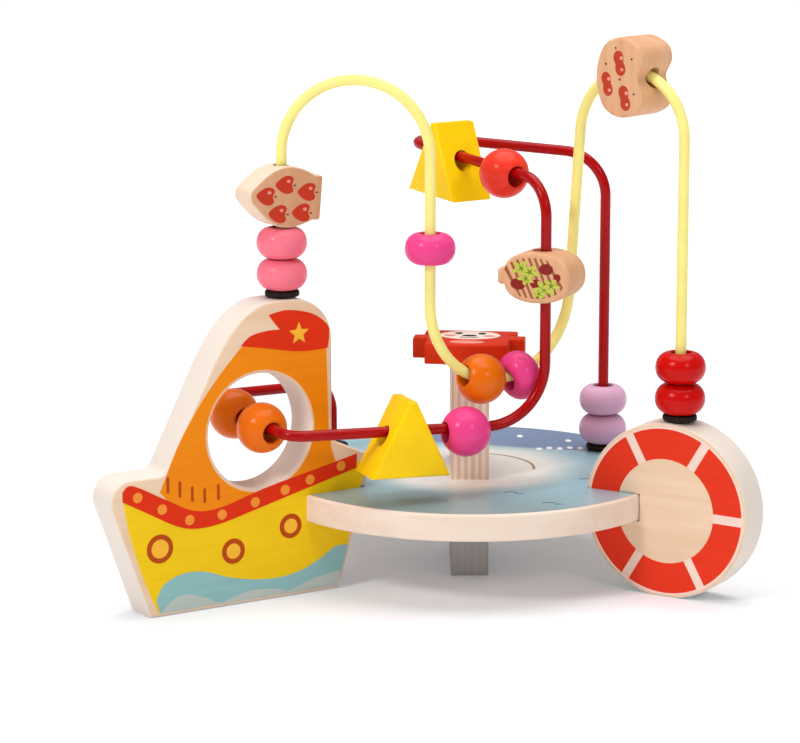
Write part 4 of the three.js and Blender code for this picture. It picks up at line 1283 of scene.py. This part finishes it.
loaf_print = bead_printer("striped_loaf_bead", LOAF_THICKNESS, loaf_place)
loaf_stripes = [slant_stripe(-8.0 + 2.3 * i) for i in range(8)]
loaf_print("stripes", loaf_stripes, "crust", 1)
fruit = [(-6.0, -2.4, 2.9, 2.1), (5.0, 3.6, 2.7, 2.0), (1.2, -2.0, 2.4, 1.7), (9.2, 0.8, 1.4, 1.4)]
loaf_print("fruit", [oval(*one) for one in fruit], "plum", 2)
leaf_layers = [
    [(-4.6, 3.4, 3.4, 0.4), (4.2, -3.6, 3.6, 2.2)],
    [(-1.4, 2.2, 3.5, 1.4), (7.0, -2.2, 3.0, 0.9)],
    [(-2.8, -0.2, 2.8, 2.6), (2.4, -5.4, 2.4, 0.1)],
]
for layer, leaves in enumerate(leaf_layers, 1):
    loaf_print(f"leaves_{layer}", [leaf_loop(*leaf) for leaf in leaves], "leaf", 1 + 2 * layer)
    veins = [star_loop(x, y, size * 0.6, size * 0.14, 40 + 57 * turn) for x, y, size, turn in leaves]
    loaf_print(f"veins_{layer}", veins, "vein", 2 + 2 * layer)
print("loaf stripes:", len(loaf_stripes), "fruit:", len(fruit), "leaf layers:", len(leaf_layers))

# %% [markdown]
# The bean bead sits on the crown of the second arch. It is a kidney with its hollow on one side, so a soft
# closed line through ten points draws it better than arcs would. Three twin berries are on its face.

# %% Bean bead
BEAN_WIDE, BEAN_TALL, BEAN_THICKNESS, BEAN_WAIST, BEAN_ROUND = 11.0, 14.5, 18.0, 3.0, 1.2
bean_points = [
    (BEAN_WIDE - BEAN_WAIST, 0), (BEAN_WIDE - 0.4, -0.42 * BEAN_TALL), (0.78 * BEAN_WIDE, -0.8 * BEAN_TALL),
    (0, -BEAN_TALL), (-0.72 * BEAN_WIDE, -0.74 * BEAN_TALL), (-BEAN_WIDE, 0),
    (-0.72 * BEAN_WIDE, 0.74 * BEAN_TALL), (0, BEAN_TALL), (0.78 * BEAN_WIDE, 0.8 * BEAN_TALL),
    (BEAN_WIDE - 0.4, 0.42 * BEAN_TALL),
]
bean_outline = smooth_line(bean_points, True, 8)
arch_from, arch_to = Vector(yellow_corners[5]), Vector(yellow_corners[6])
bean_middle = (arch_from + arch_to) / 2 - UP * BEARING
bean_place = sawn_place(bean_middle, (arch_to - arch_from).normalized())
add_sawn("bean_bead", bean_outline, BEAN_THICKNESS, BEAN_ROUND, ALONG, bead_wood, bean_place)


def twin_loop(x, y, size, turn):
    """Two berries grown together."""
    points = []
    for i in range(36):
        angle = 2 * math.pi * i / 36
        reach = size * (0.7 + 0.3 * math.cos(2 * angle))
        points.append((x + reach * math.cos(angle + turn), y + reach * math.sin(angle + turn)))
    return points


berries = [(0.2, 5.2, 4.6, 1.8), (-5.4, -2.6, 4.4, 1.8), (2.7, -7.2, 4.6, 1.8)]
shines = [oval(x + 0.9, y + 1.9, 0.8, 0.7, 30) for x, y, size, turn in berries]
shines += [oval(x + 1.2, y - 2.2, 0.7, 0.6, 30) for x, y, size, turn in berries]
specks = [(5.8, 7.0), (0.4, -0.6), (-1.6, 10.6), (7.0, -5.4), (-6.0, 4.6)]
bean_print = bead_printer("bean_bead", BEAN_THICKNESS, bean_place)
bean_print("berries", [twin_loop(*berry) for berry in berries], "berry", 1)
bean_print("shines", shines, "blush", 2)
bean_print("specks", [circle(x, y, 0.45, 45) for x, y in specks], "fleck", 1)
print("berries:", len(berries))

# %% [markdown]
# The studio is plain: a pale floor that runs on behind the toy, a white sky for soft light from all round,
# and a wide lamp overhead, which leaves a soft shade under the tray. Two small lamps in front, left and
# right, give each bead its two points of shine. Far from the toy the floor glows a little, so that it
# meets the sky without an edge; a curved backdrop would do the same, but only from one side.

# %% Floor and light
FLOOR_SIZE = 8.0
SKY_STRENGTH = 0.3
floor_mesh = bpy.data.meshes.new("studio_floor")
floor_corners = [(x, y, 0) for x, y in rectangle(FLOOR_SIZE, FLOOR_SIZE)]
floor_mesh.from_pydata(floor_corners, [], [(0, 1, 2, 3)])
floor = put_in_scene("studio_floor", floor_mesh)
floor_finish = Finish("studio_floor", Base_Color=(0.86, 0.86, 0.87), Roughness=0.6)
floor_reach = floor_finish.length(floor_finish.place())
floor_glow = floor_finish.mix(floor_reach.step(0.25, 1.6), (0.06, 0.085, 0.11), (0.62, 0.62, 0.62))
floor_finish.set(Emission_Color=floor_glow, Emission_Strength=1.0)
floor_mesh.materials.append(floor_finish.material)

world = bpy.data.worlds.new("studio_sky")
world.use_nodes = True
sky = world.node_tree.nodes["Background"]
sky.inputs["Color"].default_value = (1, 1, 1, 1)
sky.inputs["Strength"].default_value = SKY_STRENGTH
bpy.context.scene.world = world


def add_lamp(name, place, target, size, power):
    lamp = bpy.data.lights.new(name, "AREA")
    lamp.shape = "DISK"
    lamp.size = size
    lamp.energy = power
    holder = put_in_scene(name, lamp)
    holder.location = place
    holder.rotation_euler = (Vector(target) - Vector(place)).to_track_quat("-Z", "Y").to_euler()


add_lamp("left_lamp", (-1.2, -1.1, 1.3), (0, 0, 0.08), 0.42, 14)
add_lamp("right_lamp", (0.9, -1.5, 1.1), (0, 0, 0.08), 0.34, 4.5)
add_lamp("top_lamp", (0.1, 0.2, 2.2), (0, 0, 0.05), 2.6, 51)
bpy.context.scene.view_settings.view_transform = "Standard"
print("lamps:", len(bpy.data.lights))
